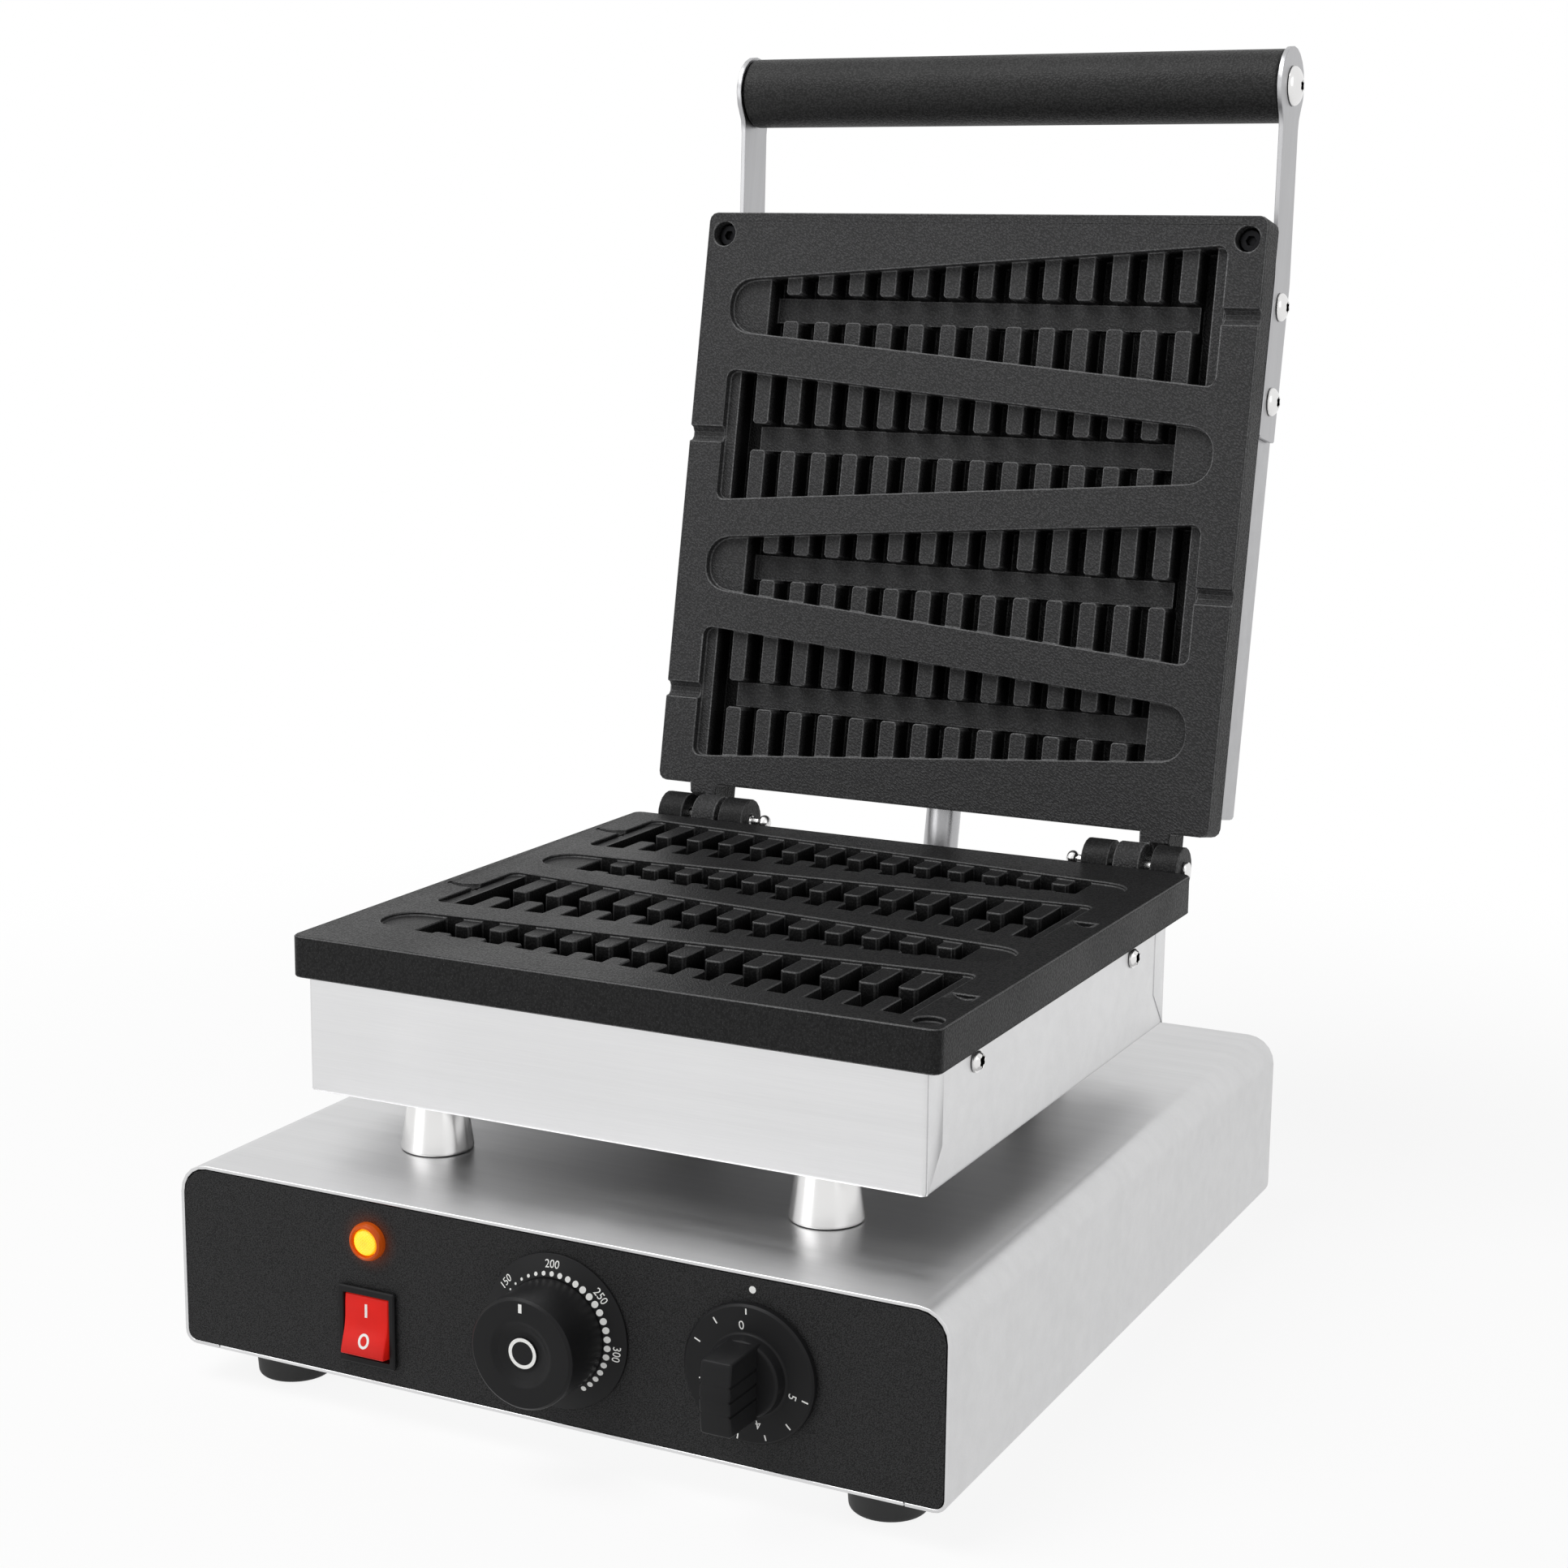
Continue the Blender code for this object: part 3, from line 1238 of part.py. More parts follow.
def lower_plate():
    face = HINGE_DROP
    plate = plate_slab("lower_plate", face, -1, AXIS)
    half = plate_body_half()
    front = PLATE_LENGTH - CASING_FRONT_INSET - SHEET - 2 * FIT_GAP
    back = UPPER_CASING_BACK_INSET + SHEET + 2 * FIT_GAP
    join(plate, depth_box(
        "lower_plate_body", face, -1, (-half, half), (back, front),
        (PLATE_THICKNESS / 2, PLATE_BODY_DEPTH), AXIS,
    ))
    for side, word, y in casing_screw_places():
        middle = PLATE_BACK_Y - y
        x_range = sorted((side * half, side * (half - LUG_WIDTH)))
        lug = depth_box(
            f"casing_lug_{word}", face, -1, x_range,
            (middle - LUG_LENGTH / 2, middle + LUG_LENGTH / 2),
            (PLATE_THICKNESS, PLATE_THICKNESS + LUG_DROP), AXIS,
        )
        join(plate, lug)
        radius = PAN_SCREW_SHANK + FIT_GAP
        height = face - PLATE_THICKNESS - CASING_SCREW_DROP
        low, high = sorted((side * (half + OVERRUN), side * (half - LUG_WIDTH + SHEET)))
        cut(plate, cylinder(
            f"lug_bore_{word}", radius, low, high, (0, plate_y(middle), height), FACE_RIGHT, AXIS
        ))
    for side, word in mirrored_sides():
        knuckles = (
            ("outer", OUTER_KNUCKLE_START, OUTER_KNUCKLE_LENGTH),
            ("inner", INNER_KNUCKLE_START, INNER_KNUCKLE_LENGTH),
        )
        for part, start, length in knuckles:
            join(plate, knuckle(f"{part}_knuckle_{word}", side, start, length, AXIS))
            join(plate, depth_box(
                f"{part}_neck_{word}", face, -1,
                sorted((side * start, side * (start + length))),
                (-HINGE_SETBACK + PIN_RADIUS, PLATE_EDGE * 2),
                (NECK_DROP, PLATE_THICKNESS - NECK_DROP), AXIS,
            ))
        cut(plate, pin_bore(f"base_pin_bore_{word}", side, AXIS))
    cut_trees(plate, face, -1, AXIS)
    cut_lower_grooves(plate, face)
    cut(plate, cylinder(
        "plate_dimple", COUNTERBORE_RADIUS, -DIMPLE_DEPTH, OVERRUN,
        (PLATE_HALF - PLATE_SCREW_INSET, plate_y(PLATE_LENGTH - PLATE_SCREW_DROP), face),
        FACE_UP, AXIS, ROUND_SEGMENTS,
    ))
    return finish_as(plate, "cast")


def cut_lower_grooves(plate, face):
    """Half of each stick's rest: a scoop that runs out before the edge, or a shallow crescent."""
    for index, middle_u, base_side in tree_places():
        if base_side < 0:
            run = PLATE_HALF - SCOOP_INSET - TREE_BASE
            slope = math.atan2(GROOVE_DEPTH, run)
            radius = GROOVE_WIDTH / 2
            start = TREE_BASE - OVERRUN
            depth = GROOVE_DEPTH + OVERRUN * math.tan(slope)
            at = (base_side * start, plate_y(middle_u), face - depth + radius)
            cutter = cylinder(
                f"stick_scoop_{index}", radius, 0, run + OVERRUN, at,
                (0, base_side * (math.pi / 2 - slope), 0), AXIS,
            )
        else:
            # A disc on edge whose chord at the face is the crescent's length
            half = CRESCENT_LENGTH / 2
            radius = (half * half + CRESCENT_DEPTH * CRESCENT_DEPTH) / (2 * CRESCENT_DEPTH)
            middle_x = base_side * (TREE_BASE + CRESCENT_FROM + half)
            at = (middle_x, plate_y(middle_u), face - CRESCENT_DEPTH + radius)
            cutter = cylinder(
                f"stick_crescent_{index}", radius, -GROOVE_WIDTH / 2, GROOVE_WIDTH / 2,
                at, FACE_FRONT, AXIS, ROUND_SEGMENTS,
            )
        cut(plate, cutter)


def upper_plate():
    face = LID_FACE
    plate = plate_slab("upper_plate", face, 1, LID)
    half = plate_body_half()
    front = PLATE_LENGTH - CASING_FRONT_INSET - SHEET - 2 * FIT_GAP
    back = UPPER_CASING_BACK_INSET + SHEET + 2 * FIT_GAP
    join(plate, depth_box(
        "upper_plate_body", face, 1, (-half, half), (back, front),
        (PLATE_THICKNESS / 2, PLATE_BODY_DEPTH), LID,
    ))
    relief = CONDUIT_NUT_RADIUS + FIT_GAP
    nut_end = back + CONDUIT_NUT_HEIGHT + FIT_GAP
    cut(plate, depth_box(
        "conduit_relief", face, 1, (-relief, relief), (back - OVERRUN, nut_end),
        (PLATE_THICKNESS, PLATE_BODY_DEPTH + OVERRUN), LID,
    ))
    for side, word in mirrored_sides():
        lug_end = LID_LUG_START + LID_LUG_WIDTH
        lug = depth_box(
            f"lid_lug_{word}", face, 1,
            sorted((side * LID_LUG_START, side * lug_end)),
            (-HINGE_SETBACK + PIN_RADIUS, PLATE_EDGE * 2),
            (0, LID_LUG_HEIGHT), LID,
        )
        low, high = sorted((
            side * (LID_KNUCKLE_START + LID_KNUCKLE_LENGTH),
            side * (lug_end + OVERRUN),
        ))
        cut(lug, cylinder(
            f"lug_relief_{word}", BARREL_RADIUS + LUG_BARREL_CLEARANCE, low, high,
            (0, 0, 0), FACE_RIGHT, LID, ROUND_SEGMENTS,
        ))
        join(plate, lug)
        join(plate, knuckle(
            f"lid_knuckle_{word}", side, LID_KNUCKLE_START, LID_KNUCKLE_LENGTH, LID
        ))
        cut(plate, pin_bore(f"lid_pin_bore_{word}", side, LID))
        cut(plate, *plate_screw_holes(side, word, face))
    cut_trees(plate, face, 1, LID)
    for index, middle_u, base_side in tree_places():
        cut(plate, stick_groove(f"lid_groove_{index}", face, middle_u, base_side))
    return finish_as(plate, "cast")


def stick_groove(name, face, middle_u, base_side):
    """A round bottomed groove from a cavity's base out through the plate's side."""
    low = TREE_BASE - OVERRUN
    high = PLATE_HALF + OVERRUN
    half = GROOVE_WIDTH / 2
    outline = arc(0, GROOVE_DEPTH - half, half, 0, 180, BEND_STEPS)
    outline += [(-half, -OVERRUN), (half, -OVERRUN)]
    length = high - low
    middle = (base_side * (low + high) / 2, plate_y(middle_u), face)
    return slab(name, outline, length, middle, LID, OUTLINE_YZ)


def plate_screw_place(side):
    x = side * (PLATE_HALF - PLATE_SCREW_INSET)
    return x, plate_y(PLATE_LENGTH - PLATE_SCREW_DROP)


def plate_screw_holes(side, word, face):
    x, y = plate_screw_place(side)
    counterbore = cylinder(
        f"counterbore_{word}", COUNTERBORE_RADIUS, -OVERRUN, COUNTERBORE_DEPTH,
        (x, y, face), FACE_UP, LID, ROUND_SEGMENTS,
    )
    hole = cylinder(
        f"plate_screw_hole_{word}", STUD_RADIUS + STUD_CLEARANCE,
        COUNTERBORE_DEPTH - OVERRUN, PLATE_THICKNESS - SHEET, (x, y, face), FACE_UP, LID,
    )
    return counterbore, hole


def plate_screws():
    for side, word in mirrored_sides():
        x, y = plate_screw_place(side)
        head = COUNTERBORE_DEPTH - FIT_GAP
        profile = [
            (0, PLATE_SCREW_HEAD_HEIGHT),
            (PLATE_SCREW_HEAD_RADIUS, PLATE_SCREW_HEAD_HEIGHT),
            (PLATE_SCREW_HEAD_RADIUS, 0),
            (STUD_RADIUS, 0),
            (STUD_RADIUS, head - PLATE_THICKNESS + SHEET + FIT_GAP),
            (0, head - PLATE_THICKNESS + SHEET + FIT_GAP),
        ]
        at = (x, y, LID_FACE + head)
        screw = turned(f"plate_screw_{word}", profile, at, FACE_DOWN, LID, SMALL_SEGMENTS)
        cut(screw, cylinder(
            f"plate_screw_socket_{word}", SOCKET_WIDTH / 2,
            PLATE_SCREW_HEAD_HEIGHT - SOCKET_DEPTH, PLATE_SCREW_HEAD_HEIGHT + OVERRUN,
            at, FACE_DOWN, LID, DRIVE_SIDES,
        ))
        finish_as(screw, "bright_steel")


def upper_casing():
    length = PLATE_LENGTH - UPPER_CASING_BACK_INSET - CASING_FRONT_INSET
    height = UPPER_CASING_DEPTH - FIT_GAP
    low = LID_FACE + PLATE_THICKNESS + FIT_GAP
    back_y = plate_y(UPPER_CASING_BACK_INSET)
    tray = casing("upper_casing", length, height, LID, (0, back_y, low), 1)
    for side, word in mirrored_sides():
        for step, up in (("low", ARM_SCREW_LOW_UP), ("high", ARM_SCREW_HIGH_UP)):
            cut(tray, arm_screw_hole(f"casing_{step}_{word}", side, up))
    reach = SHEET + OVERRUN
    cut(tray, cylinder(
        "conduit_hole", CONDUIT_RADIUS + FIT_GAP, -reach, reach,
        (0, back_y, LID_FACE + CONDUIT_BACK), FACE_FRONT, LID, ROUND_SEGMENTS,
    ))
    return finish_as(tray, "steel")


def heater(name, face, depth_side, parent):
    """A serpentine tube element lying against the back of a plate's body."""
    depth = PLATE_BODY_DEPTH + FIT_GAP + HEATER_RADIUS
    z = face + depth_side * depth
    bend = HEATER_PITCH / 2
    half_span = HEATER_PITCH * (HEATER_RUNS - 1) / 2
    middle_y = plate_y(PLATE_LENGTH / 2)
    points = []
    for run in range(HEATER_RUNS):
        x = -half_span + HEATER_PITCH * run
        way = 1 if run % 2 == 0 else -1
        points += [(x, -way * HEATER_HALF_LENGTH), (x, way * HEATER_HALF_LENGTH)]
        if run < HEATER_RUNS - 1:
            points += arc(
                x + bend, way * HEATER_HALF_LENGTH, bend, way * 180, 0, HEATER_BEND_STEPS
            )[1:-1]
    curve = bpy.data.curves.new(name, "CURVE")
    curve.dimensions = "3D"
    curve.bevel_depth = HEATER_RADIUS
    curve.bevel_resolution = 1
    curve.use_fill_caps = True
    spline = curve.splines.new("POLY")
    spline.points.add(len(points) - 1)
    for point, (x, y) in zip(spline.points, points):
        point.co = (x, middle_y + y, z, 1)
    return finish_as(baked(place(name, curve, parent=parent)), "element")


# Handle

def arm_outline():
    """The arm's outline in (y, z) of the closed lid: square foot, slight bend, round eye."""
    foot = Vector((ARM_FOOT_UP, ARM_FOOT_BACK))
    bend = Vector((ARM_BEND_UP, ARM_BEND_BACK))
    eye = Vector((ARM_EYE_UP, ARM_EYE_BACK))
    lower = (bend - foot).normalized()
    upper = (eye - bend).normalized()
    half = ARM_WIDTH / 2
    lower_side = Vector((-lower.y, lower.x))
    upper_side = Vector((-upper.y, upper.x))
    bisector = (lower_side + upper_side).normalized()
    bend_out = bisector * (half / bisector.dot(lower_side))
    neck_reach = math.sqrt(
        (ARM_EYE_RADIUS + ARM_NECK_RADIUS) ** 2 - (half + ARM_NECK_RADIUS) ** 2
    )
    neck_angle = math.degrees(math.atan2(half + ARM_NECK_RADIUS, neck_reach))
    start_turn = 180 - neck_angle
    head = []
    # Along the upper arm: x towards the eye's middle, y to its back side
    head += [
        (x, y)
        for x, y in arc(
            -neck_reach, half + ARM_NECK_RADIUS, ARM_NECK_RADIUS, -90, -neck_angle, DOME_STEPS
        )
    ]
    head += arc(0, 0, ARM_EYE_RADIUS, start_turn, -start_turn, EYE_STEPS)[1:-1]
    head += [
        (x, -y)
        for x, y in arc(
            -neck_reach, half + ARM_NECK_RADIUS, ARM_NECK_RADIUS, -neck_angle, -90, DOME_STEPS
        )
    ]
    head_points = [eye + upper * x + upper_side * y for x, y in head]
    body = [
        (*(bend - bend_out), ARM_BEND_RADIUS),
        (*(foot - lower_side * half), ARM_CORNER),
        (*(foot + lower_side * half), ARM_CORNER),
        (*(bend + bend_out), ARM_BEND_RADIUS),
    ]
    around = [(*head_points[-1], 0), *body, (*head_points[0], 0)]
    path = rounded(around, DOME_STEPS, closed=False)[1:-1] + [tuple(p) for p in head_points]
    return [(plate_y(up), LID_FACE + back) for up, back in path]


def arm_screw_hole(name, side, up):
    radius = ARM_SCREW_SHANK + FIT_GAP
    at = (side * CASING_HALF, plate_y(up), LID_FACE + ARM_FOOT_BACK)
    reach = ARM_STRIP_THICKNESS + ARM_THICKNESS + OVERRUN
    return cylinder(f"{name}_screw_hole", radius, -reach, reach, at, FACE_RIGHT, LID)


def handle_arms():
    for side, word in mirrored_sides():
        middle = side * (ARM_INNER_X + ARM_THICKNESS / 2)
        name = f"handle_arm_{word}"
        arm = slab(name, arm_outline(), ARM_THICKNESS, (middle, 0, 0), LID, OUTLINE_YZ)
        for step, up in (("low", ARM_SCREW_LOW_UP), ("high", ARM_SCREW_HIGH_UP)):
            cut(arm, arm_screw_hole(f"{name}_{step}", side, up))
        reach = ARM_THICKNESS + OVERRUN
        cut(arm, cylinder(
            f"{name}_eye_hole", END_SCREW_SHANK + FIT_GAP, -reach, reach,
            (side * ARM_INNER_X, plate_y(ARM_EYE_UP), LID_FACE + ARM_EYE_BACK), FACE_RIGHT, LID,
        ))
        finish_as(arm, "steel")


def arm_fasteners():
    """Button screws through each arm and the casing into a tapped strip inside."""
    for side, word in mirrored_sides():
        inner = CASING_HALF - SHEET - FIT_GAP
        x_range = sorted((side * inner, side * (inner - ARM_STRIP_THICKNESS)))
        back = (ARM_FOOT_BACK - ARM_STRIP_WIDTH / 2, ARM_FOOT_BACK + ARM_STRIP_WIDTH / 2)
        strip = depth_box(
            f"arm_strip_{word}", LID_FACE, 1, x_range,
            (ARM_SCREW_LOW_UP - ARM_STRIP_MARGIN, ARM_SCREW_HIGH_UP + ARM_STRIP_MARGIN),
            back, LID,
        )
        turn = FACE_RIGHT if side > 0 else FACE_LEFT
        for step, up in (("low", ARM_SCREW_LOW_UP), ("high", ARM_SCREW_HIGH_UP)):
            cut(strip, arm_screw_hole(f"strip_{step}_{word}", side, up))
            at = (side * ARM_OUTER_X, plate_y(up), LID_FACE + ARM_FOOT_BACK)
            reach = ARM_THICKNESS + SHEET + ARM_STRIP_THICKNESS
            pan_screw(
                f"arm_screw_{step}_{word}", ARM_SCREW_RADIUS, ARM_SCREW_HEIGHT,
                ARM_SCREW_SHANK, reach, at, turn, LID,
            )
        finish_as(strip, "steel")


def grip_and_rod():
    y = plate_y(ARM_EYE_UP)
    z = LID_FACE + ARM_EYE_BACK
    half = ARM_INNER_X - FIT_GAP
    profile = [
        (GRIP_BORE_RADIUS, half),
        (GRIP_RADIUS - GRIP_EDGE, half),
        (GRIP_RADIUS, half - GRIP_EDGE),
        (GRIP_RADIUS, -half + GRIP_EDGE),
        (GRIP_RADIUS - GRIP_EDGE, -half),
        (GRIP_BORE_RADIUS, -half),
    ]
    grip = turned(
        "handle_grip", profile, (0, y, z), FACE_RIGHT, LID, FINE_SEGMENTS, ring=True
    )
    finish_as(grip, "grip")
    rod = cylinder("handle_rod", ROD_RADIUS, -half, half, (0, y, z), FACE_RIGHT, LID)
    for side, word in mirrored_sides():
        depth = END_SCREW_REACH + FIT_GAP
        low, high = sorted((side * (half - depth), side * (half + OVERRUN)))
        cut(rod, cylinder(
            f"rod_bore_{word}", END_SCREW_SHANK + FIT_GAP, low, high, (0, y, z), FACE_RIGHT, LID
        ))
        turn = FACE_RIGHT if side > 0 else FACE_LEFT
        pan_screw(
            f"handle_end_screw_{word}", END_SCREW_RADIUS, END_SCREW_HEIGHT, END_SCREW_SHANK,
            ARM_THICKNESS + END_SCREW_REACH - FIT_GAP, (side * ARM_OUTER_X, y, z), turn, LID,
        )
    finish_as(rod, "bright_steel")


# Conduit and hinge pins

def lid_conduit():
    y = plate_y(UPPER_CASING_BACK_INSET)
    z = LID_FACE + CONDUIT_BACK
    inside = SHEET + CONDUIT_NUT_HEIGHT + 2 * FIT_GAP
    outside = CONDUIT_LENGTH - inside
    bore = CONDUIT_RADIUS - CONDUIT_WALL
    profile = [
        (bore, outside),
        (CONDUIT_RADIUS, outside),
        (CONDUIT_RADIUS, -inside),
        (bore, -inside),
    ]
    tube = turned("lid_conduit", profile, (0, y, z), FACE_REAR, LID, ring=True)
    finish_as(tube, "steel")
    top = -SHEET - FIT_GAP
    bottom = top - CONDUIT_NUT_HEIGHT
    at = (0, y, z)
    nut = cylinder("conduit_nut", CONDUIT_NUT_RADIUS, bottom, top, at, FACE_REAR, LID, NUT_SIDES)
    cut(nut, cylinder(
        "conduit_nut_bore", CONDUIT_RADIUS + FIT_GAP, bottom - OVERRUN, top + OVERRUN,
        at, FACE_REAR, LID, ROUND_SEGMENTS,
    ))
    finish_as(nut, "bright_steel")


def hinge_pins():
    """Each pin runs through three knuckles, with a low head outside and a formed dome inside."""
    outer = OUTER_KNUCKLE_END + FIT_GAP
    inner = INNER_KNUCKLE_START - FIT_GAP
    neck = inner - PIN_NECK_LENGTH
    dome_middle = neck - PIN_DOME_LENGTH / 2
    profile = [
        (0, outer + PIN_HEAD_HEIGHT),
        (PIN_HEAD_RADIUS - PIN_HEAD_HEIGHT / 2, outer + PIN_HEAD_HEIGHT),
        (PIN_HEAD_RADIUS, outer + PIN_HEAD_HEIGHT / 2),
        (PIN_HEAD_RADIUS, outer),
        (PIN_RADIUS, outer),
        (PIN_RADIUS, inner),
        (PIN_NECK_RADIUS, inner - PIN_CLEARANCE),
        (PIN_NECK_RADIUS, neck),
        (PIN_DOME_RADIUS, neck - PIN_CLEARANCE),
        (PIN_DOME_RADIUS, dome_middle),
        (PIN_DOME_RADIUS - PIN_CLEARANCE * 2, dome_middle - PIN_DOME_LENGTH / 3),
        (0, neck - PIN_DOME_LENGTH),
    ]
    for side, word in mirrored_sides():
        turn = FACE_RIGHT if side > 0 else FACE_LEFT
        pin = turned(
            f"hinge_pin_{word}", profile, (0, 0, 0), turn, AXIS, SMALL_SEGMENTS
        )
        finish_as(pin, "bright_steel")


# The whole machine

clear_scene()
PARTS = new_collection("waffle_iron")
CUTTERS = new_collection("cutters")
BASE = new_empty("WAFFLE_IRON", (0, -MIDDLE_Y, STAND_HEIGHT))
AXIS = new_empty("hinge_axis", (0, HINGE_Y, HINGE_Z), parent=BASE)
LID = new_empty("lid_open", (0, HINGE_Y, HINGE_Z), (-OPEN_TURN, 0, 0), BASE)

base_cover()
bottom_plate()
front_panel()
rear_panel()
feet()
posts()
terminal_block()
gland("cable_gland", (CABLE_GLAND_X, COVER_DEPTH, CABLE_GLAND_Z), FACE_REAR)
gland("lid_cable_gland", (0, COVER_DEPTH - LID_GLAND_REAR_INSET, COVER_HEIGHT), FACE_UP)
pilot_lamp()
switch_housing()
switch_rocker()
thermostat()
timer()
lower_casing()
casing_screws()
lower_plate()
heater("lower_heater", HINGE_DROP, -1, AXIS)
hinge_pins()
upper_plate()
plate_screws()
upper_casing()
heater("upper_heater", LID_FACE, 1, LID)
handle_arms()
arm_fasteners()
grip_and_rod()
lid_conduit()
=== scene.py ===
"""Countertop waffle iron for tree shaped waffles: finishes, fine pieces and a plain studio.

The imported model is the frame. Sheet metal and the lid's casting keep their solids and get soft
edges and finishes; the lower casting is a copy of its solid with higher teeth. Turned pieces,
controls, screws and prints are built here at the places of their nodes. Lengths are in metres,
+Z is up and the control panel faces -Y.
"""

import math

import bmesh
import bpy
from mathutils import Matrix, Vector


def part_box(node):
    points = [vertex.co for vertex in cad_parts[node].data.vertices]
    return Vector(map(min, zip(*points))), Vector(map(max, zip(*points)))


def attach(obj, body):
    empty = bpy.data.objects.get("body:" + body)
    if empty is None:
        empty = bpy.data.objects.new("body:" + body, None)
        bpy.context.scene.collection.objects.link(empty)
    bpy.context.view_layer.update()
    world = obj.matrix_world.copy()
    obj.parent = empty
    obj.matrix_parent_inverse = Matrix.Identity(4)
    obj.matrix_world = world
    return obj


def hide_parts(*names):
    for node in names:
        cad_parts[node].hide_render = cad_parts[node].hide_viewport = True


bl_info = {
    "name": "Waffle iron",
    "version": (1, 0, 0),
    "blender": (4, 5, 0),
    "location": "View3D > Sidebar > Waffle Iron",
    "description": "Dresses the waffle iron's packed model and sets it in a plain studio",
    "category": "Object",
}

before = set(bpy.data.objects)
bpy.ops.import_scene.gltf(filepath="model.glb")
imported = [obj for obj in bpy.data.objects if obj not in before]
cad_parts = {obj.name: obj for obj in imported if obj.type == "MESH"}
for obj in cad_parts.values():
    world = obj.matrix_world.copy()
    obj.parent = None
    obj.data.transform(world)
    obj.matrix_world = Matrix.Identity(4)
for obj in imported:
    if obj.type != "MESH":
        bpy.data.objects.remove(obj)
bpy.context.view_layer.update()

MM = 0.001
FULL_TURN = 2 * math.pi
SHARP = math.radians(35)
SIDES = ((-1, "left"), (1, "right"))
CORNERS = ("front_left", "front_right", "rear_left", "rear_right")


def node_middle(name):
    """The middle of a node's box."""
    low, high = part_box(name)
    return (low + high) / 2


# Places taken from the frame

PANEL_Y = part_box("front_panel")[0].y
HINGE = node_middle("hinge_pin_right")
HINGE.x = 0
DIAL = node_middle("thermostat_dial_ring")
TIMER = node_middle("timer_knob")
LAMP = node_middle("lamp_bezel")
SWITCH = node_middle("switch_housing")
ARM_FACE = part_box("handle_arm_right")[1].x
CASING_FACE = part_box("lower_casing")[1].x
OPEN_TURN = math.radians(100.64)
ROCKER_TILT = math.radians(10)
OUT_OF_PANEL = Matrix(((1, 0, 0, 0), (0, 0, -1, 0), (0, 1, 0, 0), (0, 0, 0, 1)))

# Each plate's outward direction, its face along it from the hinge's axis, and the depth below the
# face where the painted shade down its slots starts. The recess, fade and channel depths are below
# the face too, and a plate's outer sides lie beyond its side and front reach from the hinge's middle.
RECESS_DEPTH = 3.6 * MM
CAVITY_FADE = 4.8 * MM
CHANNEL_FLOOR = 12.8 * MM
PLATE_SIDE = 116 * MM
PLATE_FRONT = 246 * MM
PLATE_FACES = {
    "lower_plate": (Vector((0, 0, 1)), 2.0 * MM, 1.9 * MM),
    "upper_plate": (Matrix.Rotation(-OPEN_TURN, 3, "X") @ Vector((0, 0, -1)), -2.6 * MM, 4.2 * MM),
}


def panel_frame(x, z):
    """Local X to the right, Y up and Z out of the panel, from a place on its face."""
    return Matrix.Translation((x, PANEL_Y, z)) @ OUT_OF_PANEL


def side_frame(side, middle, face):
    """Local Z points out of the left or right side."""
    turn = Matrix.Rotation(side * math.pi / 2, 4, "Y")
    return Matrix.Translation((side * face, middle.y, middle.z)) @ turn


# Shader nodes

class Tree:
    """Adds nodes to a tree and links them as they come."""

    def __init__(self, tree):
        self.tree = tree

    def add(self, kind, inputs=None, **settings):
        node = self.tree.nodes.new(kind)
        for key, value in settings.items():
            setattr(node, key, value)
        for key, value in (inputs or {}).items():
            socket = node.inputs[key]
            if isinstance(value, bpy.types.NodeSocket):
                self.link(value, socket)
            else:
                socket.default_value = value
        return node

    def link(self, value, socket):
        self.tree.links.new(value, socket)

    def math(self, operation, first, second=0.0, clamp=False):
        inputs = {0: first, 1: second}
        return self.add("ShaderNodeMath", inputs, operation=operation, use_clamp=clamp).outputs[0]

    def weighted(self, *parts):
        """The sum of (value, share) pairs."""
        terms = [self.math("MULTIPLY", value, share) for value, share in parts]
        total = terms[0]
        for term in terms[1:]:
            total = self.math("ADD", total, term)
        return total

    def vector(self, operation, first, second=(0, 0, 0), output="Vector"):
        inputs = {0: first, "Scale" if operation == "SCALE" else 1: second}
        return self.add("ShaderNodeVectorMath", inputs, operation=operation).outputs[output]

    def place(self):
        """The object's own coordinates."""
        return self.add("ShaderNodeTexCoord").outputs["Object"]

    def span(self, value, low, high, to_low, to_high, smooth=False):
        """Maps a value from one range to another, and holds it at the ends."""
        kind = "SMOOTHSTEP" if smooth else "LINEAR"
        inputs = {
            "Value": value, "From Min": low, "From Max": high, "To Min": to_low, "To Max": to_high,
        }
        return self.add("ShaderNodeMapRange", inputs, interpolation_type=kind).outputs[0]

    def noise(self, vector, scale, detail=2.0, roughness=0.5, distortion=0.0):
        inputs = {
            "Vector": vector, "Scale": scale, "Detail": detail, "Roughness": roughness,
            "Distortion": distortion,
        }
        return self.add("ShaderNodeTexNoise", inputs).outputs["Fac"]

    def placed(self, scale=(1, 1, 1), rotation=(0, 0, 0)):
        """The object's own coordinates, turned and then stretched."""
        turned_place = {"Vector": self.place(), "Rotation": rotation}
        stretched = {"Vector": self.add("ShaderNodeMapping", turned_place).outputs[0], "Scale": scale}
        return self.add("ShaderNodeMapping", stretched).outputs[0]

    def mixed(self, factor, first, second):
        """A colour between two colours."""
        inputs = {0: factor}
        for index, value in ((6, first), (7, second)):
            linked = isinstance(value, bpy.types.NodeSocket)
            inputs[index] = value if linked else (*value[:3], 1)
        return self.add("ShaderNodeMix", inputs, data_type="RGBA").outputs[2]

    def group(self, name, inputs):
        node_tree = bpy.data.node_groups[name]
        return self.add("ShaderNodeGroup", inputs, node_tree=node_tree).outputs

    def bump(self, height, distance, strength, shader):
        """Relief from a height, into a shader's normal."""
        inputs = {"Height": height, "Distance": distance, "Strength": strength}
        self.link(self.add("ShaderNodeBump", inputs).outputs[0], shader["Normal"])


